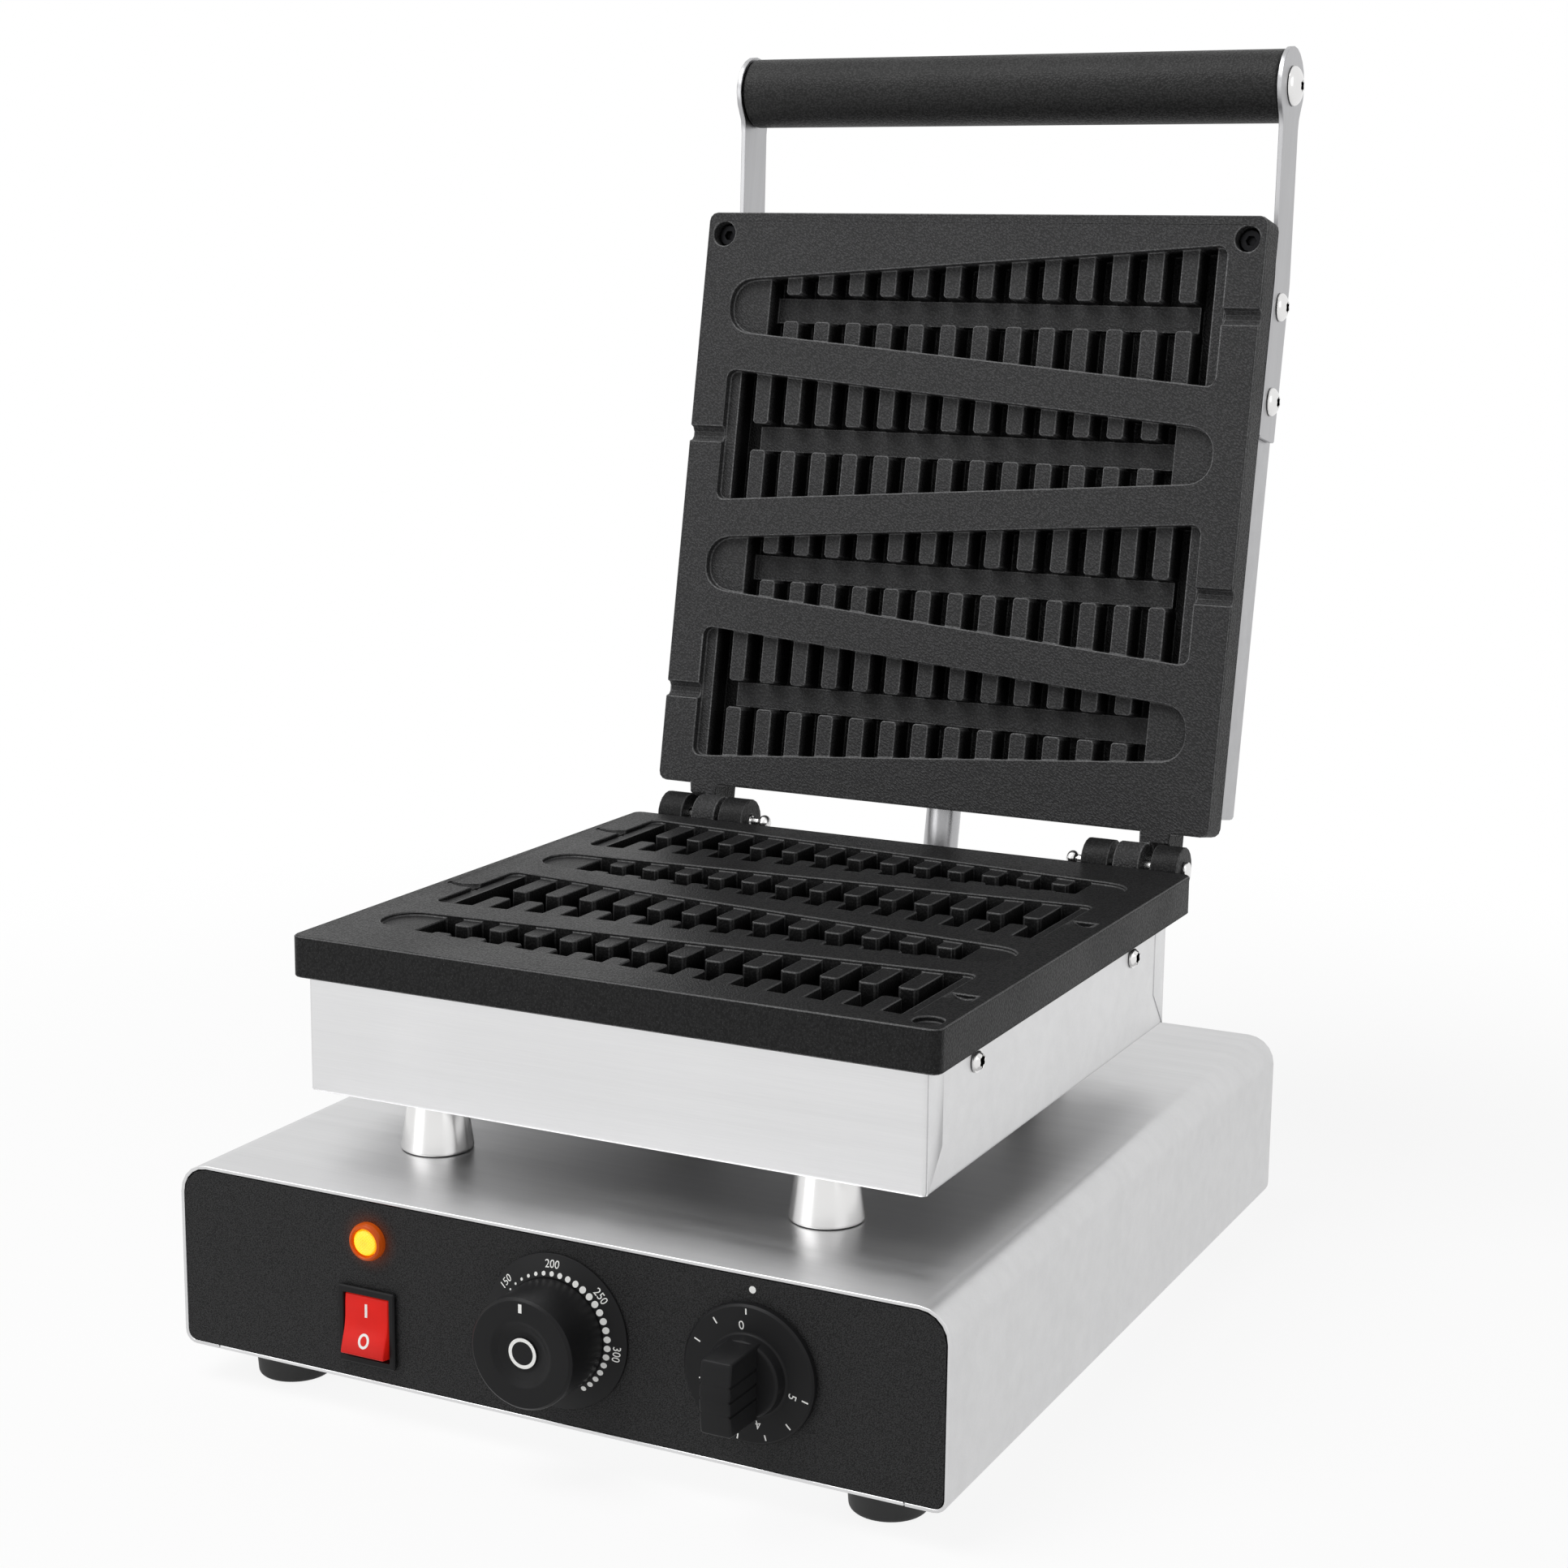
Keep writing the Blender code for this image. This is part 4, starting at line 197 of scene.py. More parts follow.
def new_group(name, inputs, outputs):
    """A shader group with named sockets; returns its tree, its inputs and its output node."""
    group = bpy.data.node_groups.new(name, "ShaderNodeTree")
    for socket, kind, default in inputs:
        made = group.interface.new_socket(socket, in_out="INPUT", socket_type=kind)
        if default is not None:
            made.default_value = default
    for socket in outputs:
        group.interface.new_socket(socket, in_out="OUTPUT", socket_type="NodeSocketFloat")
    tree = Tree(group)
    return tree, tree.add("NodeGroupInput").outputs, tree.add("NodeGroupOutput").inputs


def build_brushed_grain():
    """Fine lines along the stretched axis, in two sizes, and broader streaks."""
    tree, given, result = new_group(
        "brushed grain",
        [("Vector", "NodeSocketVector", None), ("Contrast", "NodeSocketFloat", 1.0)],
        ["Height", "Streaks"],
    )
    coarse = tree.noise(given["Vector"], 1.0, 3.0, 0.6)
    fine = tree.noise(given["Vector"], 3.3, 2.0, 0.6)
    broad = tree.noise(given["Vector"], 0.12, 2.0, 0.5)
    lines = tree.weighted((coarse, 0.55), (fine, 0.45))
    streaks = tree.weighted((lines, 0.6), (broad, 0.4))
    contrast = tree.math("MULTIPLY", tree.math("SUBTRACT", streaks, 0.5), given["Contrast"])
    tree.link(lines, result["Height"])
    tree.link(tree.math("ADD", contrast, 0.5, clamp=True), result["Streaks"])


def build_leather_grain():
    """Small pillows of uneven size with soft creases between them, and rare glints."""
    tree, given, result = new_group(
        "leather grain",
        [
            ("Vector", "NodeSocketVector", None),
            ("Scale", "NodeSocketFloat", 1500.0),
            ("Wander", "NodeSocketFloat", 0.5),
        ],
        ["Height", "Glints"],
    )
    scaled = tree.vector("SCALE", given["Vector"], given["Scale"])
    swirl = tree.add("ShaderNodeTexNoise", {"Vector": scaled, "Scale": 0.9, "Detail": 2.0})
    wander = tree.vector("SCALE", swirl.outputs["Color"], given["Wander"])
    bent = tree.vector("ADD", scaled, wander)
    cells = tree.add(
        "ShaderNodeTexVoronoi", {"Vector": bent, "Scale": 1.0, "Smoothness": 0.55},
        feature="SMOOTH_F1",
    ).outputs["Distance"]
    pillows = tree.span(cells, 0.1, 0.75, 1.0, 0.0, smooth=True)
    ripple = tree.noise(bent, 2.2, 2.0)
    tree.link(tree.weighted((pillows, 0.8), (ripple, 0.2)), result["Height"])
    points = tree.noise(bent, 3.1, 1.0)
    tree.link(tree.span(points, 0.66, 0.74, 0.0, 1.0), result["Glints"])


def build_handling():
    """Slow changes of gloss from wiping and handling."""
    tree, given, result = new_group(
        "handling",
        [("Vector", "NodeSocketVector", None), ("Scale", "NodeSocketFloat", 18.0)],
        ["Smudge"],
    )
    slow = tree.noise(given["Vector"], given["Scale"], 3.0, 0.55, 0.4)
    tree.link(tree.span(slow, 0.32, 0.68, 0.0, 1.0, smooth=True), result["Smudge"])


def build_lamp_distance():
    """Distance from the pilot lamp's axis."""
    tree, given, result = new_group(
        "lamp distance", [("Vector", "NodeSocketVector", None)], ["Radius"],
    )
    away = tree.vector("SUBTRACT", given["Vector"], LAMP)
    flat = tree.vector("MULTIPLY", away, (1, 0, 1))
    tree.link(tree.vector("LENGTH", flat, output="Value"), result["Radius"])


def build_cavity_shade():
    """Painted shade: 1 on a plate's faces, outer sides and channel floors, and less down its slots."""
    tree, given, result = new_group(
        "cavity shade",
        [
            ("Vector", "NodeSocketVector", None),
            ("Normal", "NodeSocketVector", None),
            ("Outward", "NodeSocketVector", None),
            ("Face", "NodeSocketFloat", 0.0),
            ("Start", "NodeSocketFloat", 2 * MM),
        ],
        ["Shade"],
    )
    outward, start = given["Outward"], given["Start"]
    place = tree.vector("SUBTRACT", given["Vector"], HINGE)

    def along(direction, vector=place):
        return tree.vector("DOT_PRODUCT", vector, direction, output="Value")

    depth = tree.math("SUBTRACT", given["Face"], along(outward))
    shade = tree.span(depth, start, tree.math("ADD", start, CAVITY_FADE), 1.0, 0.1)
    facing = tree.span(along(outward, given["Normal"]), 0.8, 0.95, 0.0, 1.0)
    floors = tree.span(depth, CHANNEL_FLOOR, CHANNEL_FLOOR + 0.8 * MM, 1.0, 0.0)
    shade = tree.math("MAXIMUM", shade, tree.math("MULTIPLY", facing, floors))
    forwards = tree.vector("CROSS_PRODUCT", outward, (1, 0, 0))
    for direction, reach in (((1, 0, 0), PLATE_SIDE), (forwards, PLATE_FRONT)):
        away = tree.math("ABSOLUTE", along(direction))
        shade = tree.math("MAXIMUM", shade, tree.span(away, reach, reach + 2 * MM, 0.0, 1.0))
    tree.link(shade, result["Shade"])


def build_soft_shading():
    """Joins the faces of an imported solid and smooths all but its real edges."""
    group = bpy.data.node_groups.new("soft shading", "GeometryNodeTree")
    face = group.interface
    face.new_socket("Geometry", in_out="INPUT", socket_type="NodeSocketGeometry")
    face.new_socket("Geometry", in_out="OUTPUT", socket_type="NodeSocketGeometry")
    tree = Tree(group)
    given = tree.add("NodeGroupInput").outputs
    joined = tree.add("GeometryNodeMergeByDistance", {0: given["Geometry"], "Distance": 5e-6})
    turn = tree.add("GeometryNodeInputMeshEdgeAngle").outputs["Unsigned Angle"]
    sharp = tree.add("FunctionNodeCompare", {0: turn, 1: SHARP}, operation="GREATER_THAN")
    smooth = tree.add("GeometryNodeSetShadeSmooth", {0: joined.outputs[0]})
    shaded = tree.add(
        "GeometryNodeSetMeshNormal",
        {"Mesh": smooth.outputs[0], "Remove Custom": True, "Edge Sharpness": sharp.outputs[0]},
        mode="SHARPNESS",
    )
    tree.add("NodeGroupOutput", {0: shaded.outputs[0]})


# Finishes

def new_finish(name, colour, roughness, metallic=0.0, **fixed):
    """A material with a Principled shader; fixed values go straight to its sockets."""
    material = bpy.data.materials.new(name)
    material.use_nodes = True
    tree = Tree(material.node_tree)
    shader = material.node_tree.nodes["Principled BSDF"]
    shader.inputs["Base Color"].default_value = (*colour[:3], 1)
    shader.inputs["Roughness"].default_value = roughness
    shader.inputs["Metallic"].default_value = metallic
    for socket, value in fixed.items():
        shader.inputs[socket.replace("_", " ")].default_value = value
    material.diffuse_color = (*colour[:3], 1)
    return material, tree, shader.inputs


def brushed_steel(name, colour, stretch, rotation=(0, 0, 0), roughness=0.3):
    """Sheet steel with lines along the axis that is stretched least."""
    material, tree, shader = new_finish(name, colour, roughness, metallic=1.0)
    given = {"Vector": tree.placed(stretch, rotation), "Contrast": 1.6}
    grain = tree.group("brushed grain", given)
    marks = tree.group("handling", {"Vector": tree.placed()})
    dark = [part * 0.87 for part in colour[:3]]
    tree.link(tree.mixed(grain["Streaks"], dark, colour), shader["Base Color"])
    spread = tree.span(grain["Streaks"], 0.0, 1.0, roughness + 0.07, roughness - 0.05)
    tree.link(tree.weighted((spread, 1.0), (marks["Smudge"], 0.05)), shader["Roughness"])
    tree.bump(grain["Height"], 0.012 * MM, 0.8, shader)
    return material


def turned_steel(name, colour, roughness):
    """Bright turned steel: faint rings round it and a little wear."""
    material, tree, shader = new_finish(name, colour, roughness, metallic=1.0)
    grain = tree.group("brushed grain", {"Vector": tree.placed((300, 300, 5000))})
    marks = tree.group("handling", {"Vector": tree.placed(), "Scale": 60.0})
    wear_and_highlight = tree.weighted((marks["Smudge"], 0.08), (grain["Streaks"], 0.06))
    tree.link(tree.math("ADD", wear_and_highlight, roughness - 0.05), shader["Roughness"])
    tree.bump(grain["Height"], 0.003 * MM, 0.5, shader)
    return material


def grained(name, colour, roughness, scale, stretch, turn, relief, specular, crease, glint,
            plate=None):
    """A black surface with a leather grain, painted glints and painted shade in its creases; crease is
    the share of colour left between pillows, and a plate also gets painted shade down its slots.
    """
    material, tree, shader = new_finish(name, colour, roughness, Specular_IOR_Level=specular)
    rotation = [math.radians(angle) for angle in turn]
    given = {"Vector": tree.placed(stretch, rotation), "Scale": scale}
    grain = tree.group("leather grain", given)
    marks = tree.group("handling", {"Vector": tree.placed()})
    # Painted shade: the colour darkens between the pillows, and painted glints lighten it.
    deep = [part * crease for part in colour[:3]]
    top = tree.mixed(grain["Height"], deep, colour)
    glinted_and_shaded = tree.mixed(tree.math("MULTIPLY", grain["Glints"], glint), top, (0.2, 0.2, 0.2))
    # Painted shade down a plate's slots.
    if plate:
        outward, face, start = PLATE_FACES[plate]
        here = tree.add("ShaderNodeTexCoord").outputs
        given = {
            "Vector": here["Object"], "Normal": here["Normal"], "Outward": outward, "Face": face,
            "Start": start,
        }
        shade = tree.group("cavity shade", given)["Shade"]
        glinted_and_shaded = tree.mixed(shade, (0, 0, 0), glinted_and_shaded)
    tree.link(glinted_and_shaded, shader["Base Color"])
    spread = tree.span(grain["Height"], 0.0, 1.0, roughness + 0.1, roughness - 0.04)
    tree.link(tree.weighted((spread, 1.0), (marks["Smudge"], 0.07)), shader["Roughness"])
    tree.bump(grain["Height"], relief, 1.0, shader)
    return material


def moulded(name, colour, roughness, specular=0.5, relief=0.004 * MM):
    """A satin moulding with a very fine spark grain."""
    material, tree, shader = new_finish(name, colour, roughness, Specular_IOR_Level=specular)
    spark = tree.noise(tree.placed(), 4200.0, 2.0, 0.7)
    marks = tree.group("handling", {"Vector": tree.placed(), "Scale": 40.0})
    light = [part * 1.35 for part in colour[:3]]
    tree.link(tree.mixed(spark, colour, light), shader["Base Color"])
    wiped = tree.span(marks["Smudge"], 0.0, 1.0, roughness - 0.04, roughness + 0.05)
    tree.link(wiped, shader["Roughness"])
    tree.bump(spark, relief, 0.6, shader)
    return material


def lit_plastic(name, colour, glow, strength, roughness, low, high):
    """A clear coloured moulding lit from behind, brighter towards the top of its height."""
    material, tree, shader = new_finish(
        name, colour, roughness, Emission_Strength=strength, Specular_IOR_Level=0.18,
    )
    place = tree.place()
    height = tree.add("ShaderNodeSeparateXYZ", {0: place}).outputs["Z"]
    share = tree.span(height, low, high, 0.0, 1.0, smooth=True)
    cloud = tree.noise(place, 160.0, 2.0)
    level = tree.math("MULTIPLY", tree.span(cloud, 0.3, 0.7, 0.75, 1.0), share)
    dark = [part * 0.35 for part in glow[:3]]
    tree.link(tree.mixed(level, dark, glow), shader["Emission Color"])
    tree.bump(tree.noise(place, 900.0, 2.0), 0.004 * MM, 0.5, shader)
    return material


def lens_finish(colours):
    """Amber lens: a fine cross hatch over a bright middle."""
    material, tree, shader = new_finish(
        "amber lens", colours.amber, 0.22, Emission_Strength=0.8, Coat_Weight=0.4,
    )
    place = tree.placed((1, 1, 1), (0, math.radians(45), 0))
    across = tree.add("ShaderNodeSeparateXYZ", {0: place}).outputs
    lines = [
        tree.math("ABSOLUTE", tree.math("SINE", tree.math("MULTIPLY", across[axis], 4200.0)))
        for axis in ("X", "Z")
    ]
    hatch = tree.math("MULTIPLY", lines[0], lines[1])
    radius = tree.group("lamp distance", {"Vector": tree.place()})["Radius"]
    rise = tree.span(radius, 0.0, 2.6 * MM, 0.6, 1.0, smooth=True)
    fall = tree.span(radius, 3.7 * MM, 4.6 * MM, 1.0, 0.45, smooth=True)
    zone = tree.math("MULTIPLY", rise, fall)
    level = tree.math("MULTIPLY", zone, tree.span(hatch, 0.0, 0.8, 0.6, 1.0))
    tree.link(tree.mixed(level, colours.amber_edge, colours.amber_glow), shader["Emission Color"])
    tree.bump(hatch, 0.15 * MM, 0.7, shader)
    return material


def film_finish(colours):
    """The panel's black film: fine worm-like grain and a painted pool of the pilot lamp's orange light
    around its ring.
    """
    material = grained(
        "panel film", colours.film, 0.45, 1900.0, (1.0, 1.0, 1.9), (0, 40, 0), 0.07 * MM, 0.14,
        crease=0.1, glint=0.0,
    )
    tree = Tree(material.node_tree)
    shader = material.node_tree.nodes["Principled BSDF"].inputs
    # Painted light: the film glows orange near the pilot lamp's ring.
    radius = tree.group("lamp distance", {"Vector": tree.place()})["Radius"]
    glow = tree.math("POWER", tree.span(radius, 6.0 * MM, 12.5 * MM, 1.0, 0.0), 2.5)
    tree.link(tree.mixed(glow, (0, 0, 0), colours.orange_glow), shader["Emission Color"])
    shader["Emission Strength"].default_value = 0.07
    return material


def build_finishes(colours):
    """Every finish of the machine by its name."""
    steel, dark_steel = colours.steel, colours.dark_steel
    bright_steel, plastic = colours.bright_steel, colours.plastic
    lengthwise = (22, 1400, 1400)
    slope = OPEN_TURN - math.pi / 2
    finishes = {
        # The cover's steel is painted a tenth darker than the casings' steel, as painted shade.
        "cover": brushed_steel(
            "cover steel", [part * 0.9 for part in steel], lengthwise, roughness=0.34,
        ),
        "casing": brushed_steel("casing steel", steel, lengthwise, roughness=0.3),
        "lid_casing": brushed_steel("lid casing steel", dark_steel, lengthwise, roughness=0.34),
        "arm": brushed_steel(
            "arm steel", dark_steel, (1400, 1400, 22), (slope, 0, 0), roughness=0.32,
        ),
        "conduit": brushed_steel("conduit steel", dark_steel, (900, 900, 60), roughness=0.25),
        "bright": turned_steel("bright turned steel", bright_steel, 0.2),
        "zinc": turned_steel("zinc plated steel", bright_steel, 0.24),
        # Near-black steel for the plate's screws, and painted shade inside the sockets of the bright
        # screws.
        "near_black": turned_steel("blackened steel", (0.012, 0.012, 0.013), 0.32),
        "element": turned_steel("element sheath", colours.element, 0.45),
        "grip": grained(
            "grip leather grain", colours.grip, 0.42, 1500.0, (0.75, 1.0, 1.0), (0, 0, 0),
            0.12 * MM, 0.2, crease=0.15, glint=0.15,
        ),
        "film": film_finish(colours),
        "plastic": moulded("satin black moulding", plastic, 0.42, 0.14),
        "rubber": moulded("black rubber", colours.rubber, 0.62, 0.4, 0.02 * MM),
        "print": moulded("white print", colours.print_white, 0.5, 0.3, 0.001 * MM),
        "ivory": moulded("ivory moulding", colours.ivory, 0.45, 0.5, 0.01 * MM),
        "red": lit_plastic(
            "lit red rocker", colours.red, colours.red_glow, 0.32, 0.3,
            SWITCH.z - 11 * MM, SWITCH.z - 2 * MM,
        ),
        "orange": lit_plastic(
            "lit orange ring", colours.orange, colours.orange_glow, 0.12, 0.14,
            LAMP.z - 9 * MM, LAMP.z + 1 * MM,
        ),
        "lens": lens_finish(colours),
    }
    # Both plates share one casting colour: the lid's copy is painted lighter and the lower one's
    # darker, as painted light and shade.
    lid, lower = ((1.0, 1.0, 1.7), (0, -40, 0)), ((1.0, 1.6, 1.0), (0, 0, 35))
    for key, name, share, roughness, scale, layout, relief, specular, crease, glint, plate in (
        ("lid_cast", "lid casting", 1.35, 0.46, 950.0, lid, 0.3, 0.14, 0.4, 0.15, "upper_plate"),
        ("lid_edge", "lid casting's painted edge highlight", 3.2, 0.4, 850.0, lid, 0.2, 0.3, 0.4, 0.5,
         "upper_plate"),
        ("lower_cast", "lower casting", 0.45, 0.33, 1100.0, lower, 0.08, 0.1, 0.35, 0.35,
         "lower_plate"),
        ("lower_edge", "lower casting's painted edge highlight", 1.3, 0.34, 1100.0, lower, 0.08, 0.3, 0.4, 0.8,
         "lower_plate"),
    ):
        colour = [part * share for part in colours.casting]
        finishes[key] = grained(
            name, colour, roughness, scale, *layout, relief * MM, specular, crease, glint, plate,
        )
    return finishes


FINISHES = {}


# Meshes

def soften(obj, width=0.0, segments=2, wear_and_highlight=None):
    """Soft shading, and a fine round on the edges where a width is given, which may take a lighter
    finish as painted highlights.
    """
    shading = obj.modifiers.new("soft shading", "NODES")
    shading.node_group = bpy.data.node_groups["soft shading"]
    if width:
        rounding = obj.modifiers.new("edge round", "BEVEL")
        rounding.width = width
        rounding.segments = segments
        rounding.limit_method = "ANGLE"
        rounding.angle_limit = SHARP
        rounding.use_clamp_overlap = False
        # Painted highlights: the rounds take a lighter finish with more glints.
        if wear_and_highlight:
            obj.data.materials.append(FINISHES[wear_and_highlight])
            rounding.material = len(obj.data.materials) - 1
    obj.modifiers.new("flat faces", "WEIGHTED_NORMAL").keep_sharp = True


def dress(node, finish, *edges, wear_and_highlight=None):
    """A CAD node that stays: its finish, and the width and segments of its rounds if it has any."""
    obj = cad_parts[node]
    if obj.material_slots:
        obj.material_slots[0].material = FINISHES[finish]
    else:
        obj.data.materials.append(FINISHES[finish])
    soften(obj, *edges, wear_and_highlight=wear_and_highlight)


def add_object(mesh, finish, body, nodes):
    """An object that rides on a body and may stand for CAD nodes."""
    mesh.materials.append(FINISHES[finish])
    piece = bpy.data.objects.new(mesh.name, mesh)
    bpy.context.scene.collection.objects.link(piece)
    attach(piece, body)
    if nodes:
        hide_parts(*nodes)
    return piece


def add_piece(name, shape, place, finish, body, nodes=(), inside=None):
    """Turns a bmesh into a piece; its faces with material index 1 take the finish inside."""
    bmesh.ops.recalc_face_normals(shape, faces=shape.faces)
    mesh = bpy.data.meshes.new(name)
    shape.to_mesh(mesh)
    shape.free()
    mesh.transform(place)
    mesh.shade_smooth()
    mesh.set_sharp_from_angle(angle=SHARP)
    piece = add_object(mesh, finish, body, nodes)
    if inside:
        mesh.materials.append(FINISHES[inside])
    return piece


def join_rings(shape, rings):
    """Faces between rings of equally many points."""
    for first, second in zip(rings, rings[1:]):
        for index in range(len(first)):
            after = (index + 1) % len(first)
            shape.faces.new((first[index], first[after], second[after], second[index]))


def add_slab(shape, rings, offset, segments):
    """A body between two like rings of places, with a round on its sharp edges."""
    rings = [[shape.verts.new(place) for place in ring] for ring in rings]
    for ring in rings:
        shape.faces.new(ring)
    join_rings(shape, rings)
    bmesh.ops.recalc_face_normals(shape, faces=shape.faces)
    sharp = [edge for edge in shape.edges if edge.calc_face_angle() > SHARP]
    bmesh.ops.bevel(
        shape, geom=sharp, offset=offset, segments=segments, profile=0.5, affect="EDGES",
    )


def arc(x, y, radius, start, end, steps):
    """Places along an arc between two angles in degrees."""
    angles = [math.radians(start + (end - start) * step / steps) for step in range(steps + 1)]
    return [(x + radius * math.cos(angle), y + radius * math.sin(angle)) for angle in angles]


def rounded(points, steps=4):
    """Rounds the corners of (x, y, radius) points of an open outline."""
    path = []
    for index, (x, y, radius) in enumerate(points):
        here = Vector((x, y))
        if not radius or index in (0, len(points) - 1):
            path.append((x, y))
            continue
        before = Vector(points[index - 1][:2]) - here
        after = Vector(points[index + 1][:2]) - here
        half = before.angle(after) / 2
        reach = min(radius / math.tan(half), before.length * 0.49, after.length * 0.49)
        start = here + before.normalized() * reach
        end = here + after.normalized() * reach
        for step in range(steps + 1):
            share = step / steps
            blend = start.lerp(here, share).lerp(here.lerp(end, share), share)
            path.append(tuple(blend))
    return path


def revolve(shape, profile, segments, lobes=None):
    """A closed body from a profile of (radius, height); lobes gives the depth of a star at a point."""
    rings = []
    for index, (radius, height) in enumerate(profile):
        if radius < 1e-7:
            rings.append([shape.verts.new((0, 0, height))])
            continue
        depth = lobes.get(index, 0) if lobes else 0
        ring = []
        for step in range(segments):
            angle = FULL_TURN * step / segments
            reach = radius * (1 + depth * math.cos(6 * angle))
            ring.append(shape.verts.new((reach * math.cos(angle), reach * math.sin(angle), height)))
        rings.append(ring)
    for first, second in zip(rings, rings[1:]):
        for step in range(segments):
            after = (step + 1) % segments
            if len(first) == 1:
                shape.faces.new((first[0], second[step], second[after]))
            elif len(second) == 1:
                shape.faces.new((first[step], first[after], second[0]))
            else:
                shape.faces.new((first[step], first[after], second[after], second[step]))
    return rings


def turned(name, profile, place, finish, body, nodes=(), segments=96, ring=False):
    """A lathe piece about its local Z."""
    shape = bmesh.new()
    if ring:
        profile = list(profile) + [profile[0]]
    revolve(shape, profile, segments)
    if ring:
        bmesh.ops.remove_doubles(shape, verts=shape.verts, dist=1e-7)
    return add_piece(name, shape, place, finish, body, nodes)


def screw(node, place, body, radius, height, shank, reach, washer=False):
    """A button head with a six-lobed socket for a CAD screw, seated on its local z = 0."""
    gap = 0.3 * MM
    socket, socket_depth = 1.9 * MM, 1.7 * MM
    top = gap + height
    steps = 10
    dome = [
        (radius * math.cos(angle), gap + height * math.sin(angle))
        for angle in (math.pi / 2 * step / steps for step in range(steps + 1))
    ]
    if washer:
        dome = [(r * 0.86, h) for r, h in dome[1:] if r * 0.86 > socket * 1.4]
        dome = [(radius, gap + 0.4 * MM), (radius * 0.99, gap + 0.55 * MM)] + dome
    else:
        dome = [(r, h) for r, h in dome[1:] if r > socket * 1.45]
    profile = [(0, -reach), (shank, -reach), (shank, gap), (radius, gap)] + dome
    star = len(profile)
    profile += [
        (socket * 1.12, top), (socket * 1.02, top - 0.15 * MM), (socket * 0.94, top - 1.5 * MM),
        (0, top - socket_depth),
    ]
    shape = bmesh.new()
    rings = revolve(shape, profile, 72, {star: 0.13, star + 1: 0.15, star + 2: 0.15})
    # Painted shade: the faces inside the socket take a near-black finish.
    socket_verts = {vert for ring in rings[star + 1:] for vert in ring}
    for face in shape.faces:
        face.material_index = int(all(vert in socket_verts for vert in face.verts))
    add_piece(
        f"{node}_head", shape, place, "bright", body, (node,), inside="near_black",
    )


def prism(shape, outline, low, high):
    """A flat shape between two heights; low and high give the height at a place."""
    bottom = [shape.verts.new((x, y, low(x, y))) for x, y in outline]
    top = [shape.verts.new((x, y, high(x, y))) for x, y in outline]
    shape.faces.new(bottom[::-1])
    shape.faces.new(top)
    join_rings(shape, (bottom, top))


def dot_outline(x, y, radius, sides=20):
    return arc(x, y, radius, 0, 360, sides)[:-1]


def bar_outline(start, end, width):
    start, end = Vector(start), Vector(end)
    along = (end - start).normalized() * width / 2
    across = Vector((-along.y, along.x))
    return [tuple(start + across), tuple(start - across), tuple(end - across), tuple(end + across)]


def polar(angle, radius):
    turn = math.radians(angle)
    return radius * math.cos(turn), radius * math.sin(turn)


def number_mesh(text, height):
    """The outline of a number as a mesh of flat faces, its middle at the origin."""
    curve = bpy.data.curves.new("number", "FONT")
    curve.body = text
    curve.size = height * 1.37
    curve.align_x = "CENTER"
    curve.align_y = "CENTER"
    curve.resolution_u = 3
    obj = bpy.data.objects.new("number", curve)
    bpy.context.scene.collection.objects.link(obj)
    mesh = bpy.data.meshes.new_from_object(obj)
    bpy.data.objects.remove(obj)
    bpy.data.curves.remove(curve)
    across = [vert.co.x for vert in mesh.vertices]
    up = [vert.co.y for vert in mesh.vertices]
    middle = Vector(((min(across) + max(across)) / 2, (min(up) + max(up)) / 2, 0))
    for vert in mesh.vertices:
        vert.co -= middle
    return mesh


def add_number(shape, text, height, angle, radius, low, high):
    """A number bent round a dial at an angle, its top outwards."""
    mesh = number_mesh(text, height)
    part = bmesh.new()
    part.from_mesh(mesh)
    bmesh.ops.remove_doubles(part, verts=part.verts, dist=1e-7)
    grown = bmesh.ops.extrude_face_region(part, geom=part.faces[:])["geom"]
    lifted = {item for item in grown if isinstance(item, bmesh.types.BMVert)}
    start = math.radians(angle)
    for vert in part.verts:
        turn = start - vert.co.x / radius
        reach = radius + vert.co.y
        x, y = reach * math.cos(turn), reach * math.sin(turn)
        vert.co = (x, y, high(x, y) if vert in lifted else low(x, y))
    part.to_mesh(mesh)
    part.free()
    shape.from_mesh(mesh)
    bpy.data.meshes.remove(mesh)


def level(height):
    return lambda x, y: height


# Settings

def length_property(name, description, millimetres):
    return bpy.props.FloatProperty(
        name=name, description=description, default=millimetres * MM, min=0.0, unit="LENGTH",
    )


def power_property(name, description, watts):
    return bpy.props.FloatProperty(
        name=name, description=description, default=watts, min=0.0, unit="POWER",
    )


class IronSizes(bpy.types.PropertyGroup):
    """Sizes of the pieces that stand in front of the frame."""

    edge_round: length_property("Edge round", "Round on the edges of castings and sheet metal", 0.35)
    print_height: length_property("Print height", "How far a mark stands above its surface", 0.06)
    knob_dish_radius: length_property("Knob dish radius", "Dish in the thermostat's knob", 8.8)
    knob_plate_radius: length_property("Knob plate radius", "Disc in the middle of the knob", 5.1)
    flap_width: length_property("Flap width", "How far the casing's ends fold round its corners", 12.0)
    teeth_raise: length_property("Teeth raise", "Lower plate's teeth above the frame's teeth", 2.2)
    number_height: length_property("Number height", "Height of the thermostat's numbers", 2.6)
    index_dot_height: length_property("Index dot", "The timer's index dot above the table", 71.5)


def colour_property(name, description, default):
    return bpy.props.FloatVectorProperty(
        name=name, description=description, default=default, subtype="COLOR", min=0.0, max=1.0,
    )


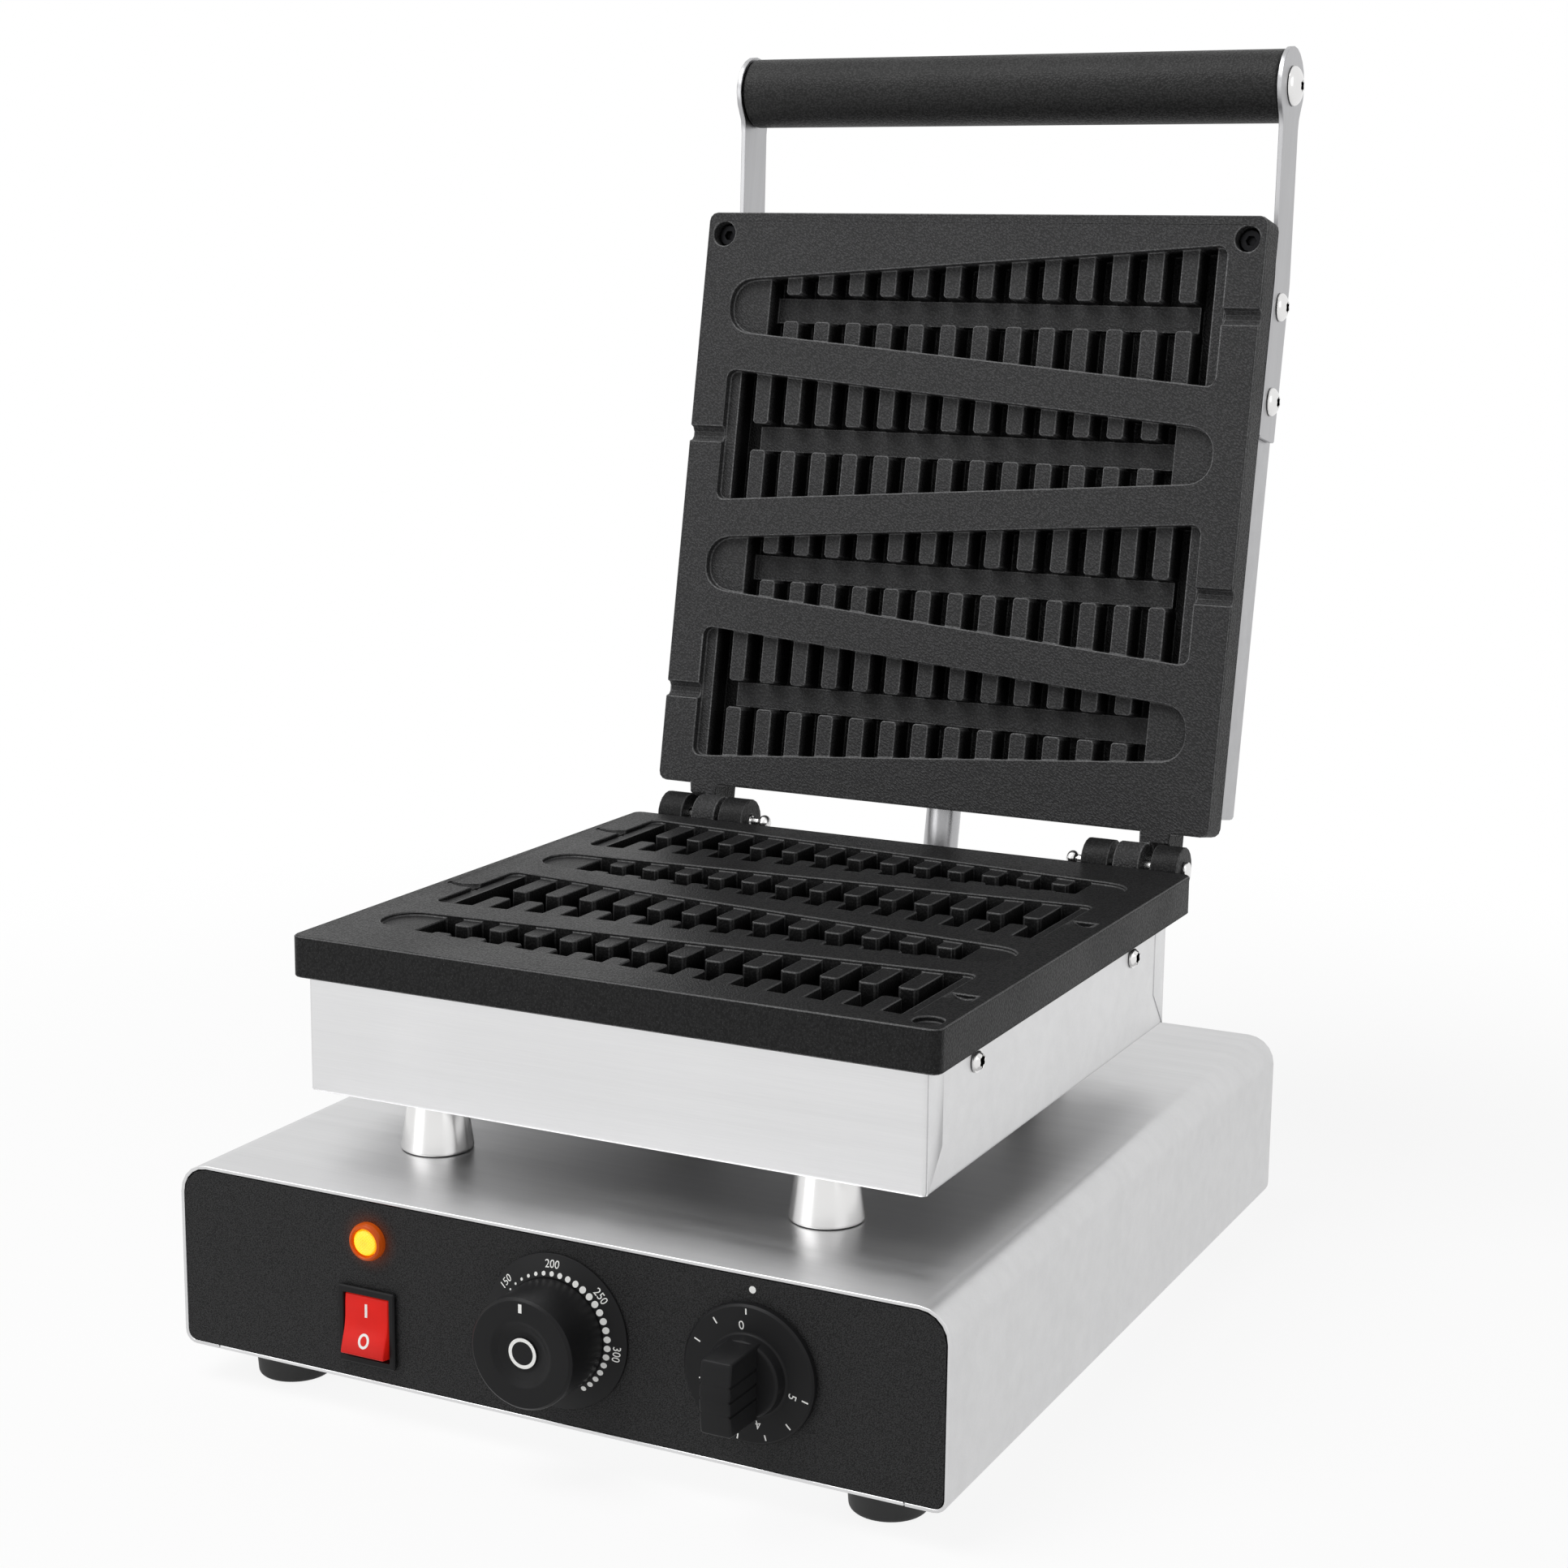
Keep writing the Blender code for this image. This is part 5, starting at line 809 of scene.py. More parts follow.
class IronColours(bpy.types.PropertyGroup):
    """Colours of the finishes."""

    steel: colour_property("Steel", "Brushed cover and casings", (0.74, 0.74, 0.745))
    dark_steel: colour_property("Arm steel", "Handle arms and conduit", (0.46, 0.46, 0.47))
    bright_steel: colour_property("Bright steel", "Posts, pins and screws", (0.78, 0.775, 0.77))
    casting: colour_property("Casting", "Both baking plates", (0.05, 0.05, 0.051))
    film: colour_property("Panel film", "Front of the control panel", (0.045, 0.045, 0.046))
    plastic: colour_property("Black moulding", "Knobs and switch frame", (0.009, 0.009, 0.0095))
    grip: colour_property("Grip", "Round grip of the handle", (0.03, 0.03, 0.03))
    rubber: colour_property("Rubber", "Feet and glands", (0.016, 0.016, 0.016))
    print_white: colour_property("Print", "Numbers and marks", (0.78, 0.78, 0.76))
    ivory: colour_property("Ivory", "Electrical mouldings inside", (0.62, 0.60, 0.54))
    element: colour_property("Element", "Heating elements", (0.2, 0.19, 0.18))
    red: colour_property("Rocker", "Body of the switch's rocker", (0.45, 0.006, 0.004))
    red_glow: colour_property("Rocker light", "Light inside the rocker", (1.0, 0.02, 0.01))
    orange: colour_property("Lamp ring", "Ring round the pilot lamp", (0.5, 0.07, 0.005))
    orange_glow: colour_property("Lamp ring light", "Light in the ring", (1.0, 0.16, 0.008))
    amber: colour_property("Lens", "Lens of the pilot lamp", (0.9, 0.5, 0.01))
    amber_glow: colour_property("Lens light", "Light in the lens's bright zone", (1.0, 0.66, 0.012))
    amber_edge: colour_property("Lens edge light", "Light near the lens's edge", (0.9, 0.24, 0.006))
    floor: colour_property("Floor", "Studio floor", (0.9, 0.9, 0.9))


class StudioSettings(bpy.types.PropertyGroup):
    """Light and camera of the stage."""

    sky: bpy.props.FloatProperty(
        name="Sky", description="Strength of the light from all round", default=0.28, min=0.0,
    )
    key_power: power_property("Key lamp", "Large soft lamp above, in front on the left", 34.0)
    side_power: power_property("Side lamp", "Soft lamp at the right", 5.0)
    front_power: power_property("Front lamp", "Low soft lamp at the front left", 7.0)
    focal_length: bpy.props.FloatProperty(
        name="Focal length", description="Lens of the camera in millimetres", default=63.6,
    )
    floor_shine: bpy.props.FloatProperty(
        name="Floor white", description="Share of plain white in the floor as it is seen",
        default=0.88, min=0.0, max=1.0, subtype="FACTOR",
    )


def sizes():
    return bpy.context.scene.iron_sizes


def colours():
    return bpy.context.scene.iron_colours


# Pieces

class IRON_OT_finishes(bpy.types.Operator):
    """Build the finishes and the shading that all pieces share"""

    bl_idname = "iron.finishes"
    bl_label = "Finishes"

    def execute(self, context):
        build_brushed_grain()
        build_leather_grain()
        build_handling()
        build_lamp_distance()
        build_cavity_shade()
        build_soft_shading()
        FINISHES.update(build_finishes(colours()))
        return {"FINISHED"}


class IRON_OT_sheet_metal(bpy.types.Operator):
    """Finish the cover, the casings and the arms, and add the casing's corner flaps"""

    bl_idname = "iron.sheet_metal"
    bl_label = "Sheet metal"

    def execute(self, context):
        edge = sizes().edge_round
        dress("base_cover", "cover", edge * 0.6)
        dress("bottom_plate", "casing", edge * 0.6)
        dress("rear_panel", "casing", edge * 0.6)
        dress("lower_casing", "casing")
        dress("upper_casing", "lid_casing")
        for _, word in SIDES:
            dress(f"handle_arm_{word}", "arm", edge * 0.8)
            dress(f"arm_strip_{word}", "casing", edge)
        dress("lid_conduit", "conduit", edge * 0.5)
        self.corner_flaps()
        return {"FINISHED"}

    def corner_flaps(self):
        """The front and back of the lower casing fold round its corners, mitred at the foot."""
        low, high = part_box("lower_casing")
        width = sizes().flap_width
        top = high.z - 0.4 * MM
        foot = low.z + 0.6 * MM
        for side, word in SIDES:
            for end, start, way in (("front", low.y, 1), ("rear", high.y, -1)):
                near, far = start + way * 1.2 * MM, start + way * width
                outline = [(near, top), (far, top), (far, foot + width + 1.2 * MM), (near, foot)]
                faces = CASING_FACE - 0.3 * MM, CASING_FACE + 0.28 * MM
                shape = bmesh.new()
                add_slab(shape, [[(side * x, y, z) for y, z in outline] for x in faces], 0.12 * MM, 2)
                add_piece(f"casing_flap_{end}_{word}", shape, Matrix(), "casing", "base")


class IRON_OT_castings(bpy.types.Operator):
    """Finish the lid's baking plate and build the lower one with its higher teeth"""

    bl_idname = "iron.castings"
    bl_label = "Baking plates"

    def execute(self, context):
        edge = sizes().edge_round * 1.4
        # The plates' rounds take lighter edge finishes, as painted highlights.
        dress("upper_plate", "lid_cast", edge, 3, wear_and_highlight="lid_edge")
        self.lower_plate(edge)
        return {"FINISHED"}

    def lower_plate(self, edge):
        """The frame's lower plate, with its teeth and tree floors nearer the plate's face."""
        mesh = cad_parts["lower_plate"].data.copy()
        mesh.name = "lower_baking_plate"
        floor = HINGE.z + PLATE_FACES["lower_plate"][1] - RECESS_DEPTH
        rear = HINGE.y - 12 * MM
        floors = [
            vert for vert in mesh.vertices
            if abs(vert.co.z - floor) < 0.05 * MM and vert.co.y < rear
        ]
        if not floors:
            raise RuntimeError("the lower plate's tree floors weren't found")
        for vert in floors:
            vert.co.z += sizes().teeth_raise
        mesh.materials.clear()
        piece = add_object(mesh, "lower_cast", "base", ("lower_plate",))
        soften(piece, edge, 3, wear_and_highlight="lower_edge")


class IRON_OT_fasteners(bpy.types.Operator):
    """Build the casing's, the arms' and the plate's screws and the hinge pins"""

    bl_idname = "iron.fasteners"
    bl_label = "Screws and pins"

    def execute(self, context):
        for side, word in SIDES:
            for end in ("front", "rear"):
                node = f"casing_screw_{end}_{word}"
                place = side_frame(side, node_middle(node), CASING_FACE)
                screw(
                    node, place, "base", radius=4.0 * MM, height=2.1 * MM, shank=1.5 * MM,
                    reach=6.0 * MM, washer=True,
                )
            for step in ("low", "high"):
                node = f"arm_screw_{step}_{word}"
                place = side_frame(side, node_middle(node), ARM_FACE)
                screw(
                    node, place, "lid", radius=5.6 * MM, height=2.9 * MM, shank=2.0 * MM,
                    reach=7.0 * MM,
                )
            self.pin(side, word)
            dress(f"plate_screw_{word}", "near_black", 0.2 * MM)
        dress("conduit_nut", "zinc", 0.3 * MM)
        return {"FINISHED"}

    def pin(self, side, word):
        """A hinge pin with a low head outside, and a neck and bright dome inside."""
        low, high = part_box(f"hinge_pin_{word}")
        inner, outer = sorted((abs(low.x), abs(high.x)))
        neck, shoulder = inner + 5 * MM, inner + 8.5 * MM
        head, body, slim = 3.5 * MM, 2.4 * MM, 1.7 * MM
        wide, deep, steps = 3.1 * MM, 2.6 * MM, 9
        profile = [(0, inner)]
        for step in range(1, steps):
            angle = math.pi * step / steps
            share = 1.02 if step < steps - 1 else 0.9
            profile.append((
                wide * math.sin(angle) * share, inner + deep - deep * math.cos(angle),
            ))
        profile += rounded([
            (slim, neck, 0), (slim, shoulder - 0.4 * MM, 0.2 * MM), (body, shoulder, 0.2 * MM),
            (body, outer - 1.5 * MM, 0), (head, outer - 1.5 * MM, 0.1 * MM),
            (head, outer, 0.7 * MM), (0, outer, 0),
        ], 3)
        turned(
            f"hinge_pin_body_{word}", profile, side_frame(side, HINGE, 0), "bright", "base",
            (f"hinge_pin_{word}",), 48,
        )


class IRON_OT_feet_and_posts(bpy.types.Operator):
    """Turn the rubber feet and the steel posts"""

    bl_idname = "iron.feet_and_posts"
    bl_label = "Feet and posts"

    stud, stud_radius = 6 * MM, 2.5 * MM

    def execute(self, context):
        kinds = (("foot", self.foot, "rubber", "rubber"), ("post", self.post, "bright", "bright_steel"))
        for corner in CORNERS:
            for kind, outline, finish, slot in kinds:
                node = f"{kind}_{corner}"
                low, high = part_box(node)
                middle = node_middle(node)
                profile = outline((high.x - low.x) / 2, high.z - low.z)
                place = Matrix.Translation((middle.x, middle.y, low.z))
                turned(f"{kind}_body_{corner}", profile, place, finish, "base", (node,))
        return {"FINISHED"}

    def foot(self, radius, height):
        """A rubber foot with a hollow below and its stud above."""
        body, dish = height - self.stud, 0.8 * MM
        return rounded([
            (0, height, 0), (self.stud_radius, height, 0.3 * MM), (self.stud_radius, body, 0),
            (radius, body, 1.4 * MM), (radius - 1.0 * MM, 0, 2.2 * MM),
            (radius - 4.5 * MM, 0, 0.4 * MM), (radius - 5.0 * MM, dish, 0.4 * MM), (0, dish, 0),
        ], 5)

    def post(self, radius, height):
        """A tapered post with a stud at each end."""
        start, end = self.stud, height - self.stud
        return rounded([
            (0, 0, 0), (self.stud_radius, 0, 0.2 * MM), (self.stud_radius, start, 0),
            (radius, start, 0.25 * MM), (radius, start + 0.7 * MM, 0.4 * MM),
            (radius - 2.5 * MM, end, 0.4 * MM), (self.stud_radius, end, 0),
            (self.stud_radius, height, 0.2 * MM), (0, height, 0),
        ], 3)


class IRON_OT_panel(bpy.types.Operator):
    """Finish the control panel and print the timer's index dot"""

    bl_idname = "iron.panel"
    bl_label = "Control panel"

    def execute(self, context):
        dress("front_panel", "film")
        shape = bmesh.new()
        prism(
            shape, dot_outline(0, 0, 1.15 * MM, 28), level(-0.02 * MM), level(sizes().print_height),
        )
        place = panel_frame(TIMER.x, sizes().index_dot_height)
        add_piece("timer_index_dot", shape, place, "print", "base")
        return {"FINISHED"}


class IRON_OT_lamp(bpy.types.Operator):
    """Build the pilot lamp's ring and its hatched lens"""

    bl_idname = "iron.lamp"
    bl_label = "Pilot lamp"

    def execute(self, context):
        place = panel_frame(LAMP.x, LAMP.z)
        ring = rounded([
            (0, -0.2 * MM, 0), (4.8 * MM, -0.2 * MM, 0), (4.8 * MM, 3.0 * MM, 0.3 * MM),
            (5.1 * MM, 3.6 * MM, 0.35 * MM), (5.9 * MM, 3.1 * MM, 0.6 * MM),
            (6.4 * MM, 1.9 * MM, 0.6 * MM), (6.4 * MM, 0.3 * MM, 0.1 * MM),
            (5.2 * MM, 0.3 * MM, 0), (5.2 * MM, -7.0 * MM, 0), (0, -7.0 * MM, 0),
        ], 5)
        turned("lamp_ring", ring, place, "orange", "base", ("lamp_bezel",))
        lens = rounded([
            (0, 3.5 * MM, 0), (2.2 * MM, 3.4 * MM, 1.5 * MM), (4.0 * MM, 3.05 * MM, 0.8 * MM),
            (4.5 * MM, 2.4 * MM, 0.4 * MM), (4.5 * MM, 0.1 * MM, 0), (0, 0.1 * MM, 0),
        ], 5)
        turned("lamp_hatched_lens", lens, place, "lens", "base", ("lamp_lens",))
        dress("lamp_body", "plastic", 0.3 * MM)
        return {"FINISHED"}


class IRON_OT_switch(bpy.types.Operator):
    """Build the lit rocker with its marks and finish the switch's frame"""

    bl_idname = "iron.switch"
    bl_label = "Mains switch"

    half_width = 8.4 * MM
    half_height = 10.0 * MM
    rim = 4.1 * MM
    dish = 1.0 * MM

    def front(self, height):
        """How far the rocker's face stands before its pivot at a height."""
        share = min(abs(height) / self.half_height, 1.0)
        return self.rim - self.dish * math.cos(share * math.pi / 2) ** 2

    def execute(self, context):
        dress("switch_housing", "plastic", 0.35 * MM, 3)
        pivot = Matrix.Translation((SWITCH.x, PANEL_Y + 1.0 * MM, SWITCH.z))
        place = pivot @ Matrix.Rotation(-ROCKER_TILT, 4, "X") @ OUT_OF_PANEL
        self.rocker(place)
        self.marks(place)
        return {"FINISHED"}

    def rocker(self, place):
        steps = 28
        heights = [self.half_height * (2 * step / steps - 1) for step in range(steps + 1)]
        outline = [(height, self.front(height)) for height in heights]
        outline += [(self.half_height, -3 * MM), (-self.half_height, -3 * MM)]
        sides = (-self.half_width, self.half_width)
        shape = bmesh.new()
        add_slab(shape, [[(x, y, z) for y, z in outline] for x in sides], 0.45 * MM, 3)
        add_piece(
            "switch_lit_rocker", shape, place, "red", "rocker", ("switch_rocker",),
        )

    def marks(self, place):
        """A bar above and a ring below, for on and off."""
        lift = sizes().print_height
        low = lambda x, y: self.front(y) - 0.05 * MM
        high = lambda x, y: self.front(y) + lift
        shape = bmesh.new()
        half_bar, foot, tall, steps = 0.475 * MM, 2.9 * MM, 4.5 * MM, 6
        for step in range(steps):
            start, end = foot + tall * step / steps, foot + tall * (step + 1) / steps
            corners = [(-half_bar, start), (half_bar, start), (half_bar, end), (-half_bar, end)]
            prism(shape, corners, low, high)
        sides = 40
        reach_x, reach_y, stroke, middle = 2.1 * MM, 2.5 * MM, 0.85 * MM, -4.9 * MM
        for step in range(sides):
            corners = []
            for turn, inset in ((step, 0), (step + 1, 0), (step + 1, stroke), (step, stroke)):
                across, up = polar(360 * turn / sides, 1)
                corners.append(((reach_x - inset) * across, middle + (reach_y - inset) * up))
            prism(shape, corners, low, high)
        bmesh.ops.remove_doubles(shape, verts=shape.verts, dist=1e-6)
        inside = [
            face for face in shape.faces if all(len(edge.link_faces) > 2 for edge in face.edges)
        ]
        bmesh.ops.delete(shape, geom=inside, context="FACES_ONLY")
        add_piece("switch_marks", shape, place, "print", "rocker")


class IRON_OT_thermostat(bpy.types.Operator):
    """Build the thermostat's dial, its scale and its knob"""

    bl_idname = "iron.thermostat"
    bl_label = "Thermostat"

    outer, inner = 25.6 * MM, 18.6 * MM
    edge, crest = 0.9 * MM, 3.0 * MM

    def cone(self, x, y):
        """Height of the dial's sloping face."""
        radius = math.hypot(x, y)
        share = (radius - self.inner) / (self.outer - self.inner)
        return self.crest - share * (self.crest - self.edge)

    def execute(self, context):
        place = panel_frame(DIAL.x, DIAL.z)
        dial = rounded([
            (3.4 * MM, 0.3 * MM, 0), (self.outer, 0.3 * MM, 0.1 * MM),
            (self.outer, self.edge, 0.25 * MM), (self.inner, self.crest, 0.3 * MM),
            (3.4 * MM, self.crest, 0),
        ], 3)
        turned(
            "thermostat_dial", dial, place, "plastic", "base",
            ("thermostat_dial_ring",), 128, ring=True,
        )
        self.scale(place)
        self.knob(place)
        dress("thermostat_shaft", "zinc")
        dress("thermostat_body", "ivory", 0.4 * MM)
        return {"FINISHED"}

    def scale(self, place):
        """Numbers and a row of dots that grow and shrink round the dial."""
        lift = sizes().print_height
        shape = bmesh.new()
        low = lambda x, y: self.cone(x, y) - 0.03 * MM
        high = lambda x, y: self.cone(x, y) + lift
        for text, angle in (("150", 142), ("200", 92), ("250", 42), ("300", -8)):
            add_number(shape, text, sizes().number_height, angle, 22.6 * MM, low, high)
        count, largest, last_large = 25, 11, 17
        first_angle, sweep = 152, 208
        for index in range(count):
            angle = first_angle - sweep * index / (count - 1)
            grown = min(index / largest, 1)
            shrunk = max(index - last_large, 0) / (count - last_large - 1)
            radius = (0.25 + 0.85 * grown - 0.25 * shrunk) * MM
            prism(shape, dot_outline(*polar(angle, 19.6 * MM), radius), low, high)
        add_piece("thermostat_scale", shape, place, "print", "base")

    def knob(self, place):
        """The knob with a dish round its middle disc, its pointer and its ring."""
        top = PANEL_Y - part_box("thermostat_knob")[0].y
        dish, plate = sizes().knob_dish_radius, sizes().knob_plate_radius
        radius, bore, foot, inside = 18.2 * MM, 3.4 * MM, 3.3 * MM, top - 3 * MM
        disc, low = top - 1.2 * MM, top - 1.9 * MM
        profile = rounded([
            (0, disc, 0), (plate, disc, 0.1 * MM), (plate + 0.1 * MM, low, 0.1 * MM),
            (plate + 1.2 * MM, low, 1 * MM), (dish, top - 1.1 * MM, 1.2 * MM),
            (dish + 2.0 * MM, top, 2 * MM), (radius - 0.9 * MM, top, 0.4 * MM),
            (radius, top - 0.9 * MM, 0.6 * MM), (radius, foot, 0.3 * MM), (bore, foot, 0),
            (bore, inside, 0), (0, inside, 0),
        ], 6)
        turned(
            "thermostat_dished_knob", profile, place, "plastic", "thermostat_dial",
            ("thermostat_knob",), 128,
        )
        lift = sizes().print_height
        shape = bmesh.new()
        line = bar_outline((0, 13.6 * MM), (0, 16.5 * MM), 1.2 * MM)
        prism(shape, line, level(top - 0.1 * MM), level(top + lift))
        add_piece("thermostat_pointer", shape, place, "print", "thermostat_dial")
        inner, outer, sunk = 3.8 * MM, 4.95 * MM, disc - 0.1 * MM
        ring = [(inner, sunk), (outer, sunk), (outer, disc + lift), (inner, disc + lift)]
        turned(
            "thermostat_knob_ring", ring, place, "print", "thermostat_dial", ring=True,
        )


class IRON_OT_timer(bpy.types.Operator):
    """Build the timer's disc with its scale and its grip"""

    bl_idname = "iron.timer"
    bl_label = "Timer"

    disc = 2.9 * MM

    def execute(self, context):
        place = panel_frame(TIMER.x, TIMER.z)
        self.knob(place)
        self.scale(place)
        dress("timer_shaft", "zinc")
        dress("timer_body", "zinc", 0.4 * MM)
        return {"FINISHED"}

    def knob(self, place):
        shape = bmesh.new()
        radius, hub, hub_top, bore, inside = 22.3 * MM, 13.0 * MM, 7.5 * MM, 3.4 * MM, 6 * MM
        profile = rounded([
            (0, hub_top, 0), (hub - 0.6 * MM, hub_top, 1.2 * MM), (hub, self.disc, 1.0 * MM),
            (radius - 0.7 * MM, self.disc, 0.3 * MM), (radius, 2.1 * MM, 0.4 * MM),
            (radius, 0.3 * MM, 0.1 * MM), (bore, 0.3 * MM, 0), (bore, inside, 0), (0, inside, 0),
        ], 6)
        revolve(shape, profile, 128)
        self.grip(shape)
        add_piece(
            "timer_grooved_knob", shape, place, "plastic", "timer_dial",
            ("timer_knob",),
        )

    def grip(self, shape):
        """A crowned bar with three grooves along each side and fine rounds round its face."""
        half_width, half_height = 5.2 * MM, 11.7 * MM
        face, crown, corner = 23.3 * MM, 1.2 * MM, 0.9 * MM
        groove, pitch = 0.45 * MM, 4.6 * MM
        side, end = half_width - corner, half_height - corner
        right = arc(side, -end, corner, -90, 0, 4)
        for index in (-1, 0, 1):
            right += arc(half_width, index * pitch, groove, -90, -270, 6)
        right += arc(side, end, corner, 0, 90, 4)
        outline = right + [(-x, y) for x, y in reversed(right)]
        edge = 0.7 * MM
        levels = [(5.0 * MM, -0.3 * MM, 0)]
        for run, rise in arc(0, 0, edge, 0, 90, 4):
            levels.append((face - edge + rise, edge - run, crown))
        rings = []
        for height, inset, bulge in levels:
            across, up = 1 - inset / half_width, 1 - inset / half_height
            rings.append([
                shape.verts.new((
                    x * across, y * up,
                    height + bulge * math.cos(y / half_height * math.pi / 2),
                ))
                for x, y in outline
            ])
        join_rings(shape, rings)
        count = len(outline)
        for ring in (rings[0], rings[-1]):
            for index in range(count // 2 - 1):
                mirrored = count - 1 - index
                shape.faces.new((ring[index], ring[index + 1], ring[mirrored - 1], ring[mirrored]))

    def scale(self, place):
        """Minutes round the disc; some lie behind the grip."""
        lift = sizes().print_height
        shape = bmesh.new()
        low, high = level(self.disc - 0.02 * MM), level(self.disc + lift)
        numbers = (("0", 98), ("1", 194), ("2", 215), ("3", 240), ("4", -76), ("5", -15))
        for text, angle in numbers:
            add_number(shape, text, 2.9 * MM, angle, 15.8 * MM, low, high)
        ticks = (
            (92, 19.3, 21.2), (126, 18.0, 20.2), (155, 18.0, 20.2), (234, 19.2, 21.0),
            (-99, 19.8, 21.5), (-72, 19.2, 21.0), (-45, 18.6, 20.8), (-14, 19.0, 21.2),
        )
        for angle, start, end in ticks:
            line = bar_outline(polar(angle, start * MM), polar(angle, end * MM), 0.45 * MM)
            prism(shape, line, low, high)
        add_piece("timer_scale", shape, place, "print", "timer_dial")


class IRON_OT_handle(bpy.types.Operator):
    """Turn the grip and its end screws"""

    bl_idname = "iron.handle"
    bl_label = "Handle"

    def execute(self, context):
        middle = node_middle("handle_grip")
        low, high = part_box("handle_grip")
        half, radius, bore = (high.x - low.x) / 2, (high.z - low.z) / 2, 5.6 * MM
        place = side_frame(1, middle, 0)
        profile = rounded([
            (bore, -half, 0), (radius, -half, 1.5 * MM), (radius, half, 1.5 * MM), (bore, half, 0),
        ], 6)
        turned(
            "handle_leather_grip", profile, place, "grip", "lid", ("handle_grip",), 128,
            ring=True,
        )
        for side, word in SIDES:
            node = f"handle_end_screw_{word}"
            place = side_frame(side, node_middle(node), ARM_FACE)
            screw(
                node, place, "lid", radius=7.7 * MM, height=3.5 * MM, shank=3.0 * MM,
                reach=15.0 * MM,
            )
        dress("handle_rod", "zinc")
        return {"FINISHED"}


class IRON_OT_inner_parts(bpy.types.Operator):
    """Finish the glands, the elements and what stands inside the base"""

    bl_idname = "iron.inner_parts"
    bl_label = "Inner parts"

    def execute(self, context):
        dress("cable_gland", "rubber", 0.3 * MM)
        dress("lid_cable_gland", "rubber", 0.3 * MM)
        dress("terminal_block", "ivory", 0.25 * MM)
        dress("lower_heater", "element")
        dress("upper_heater", "element")
        return {"FINISHED"}


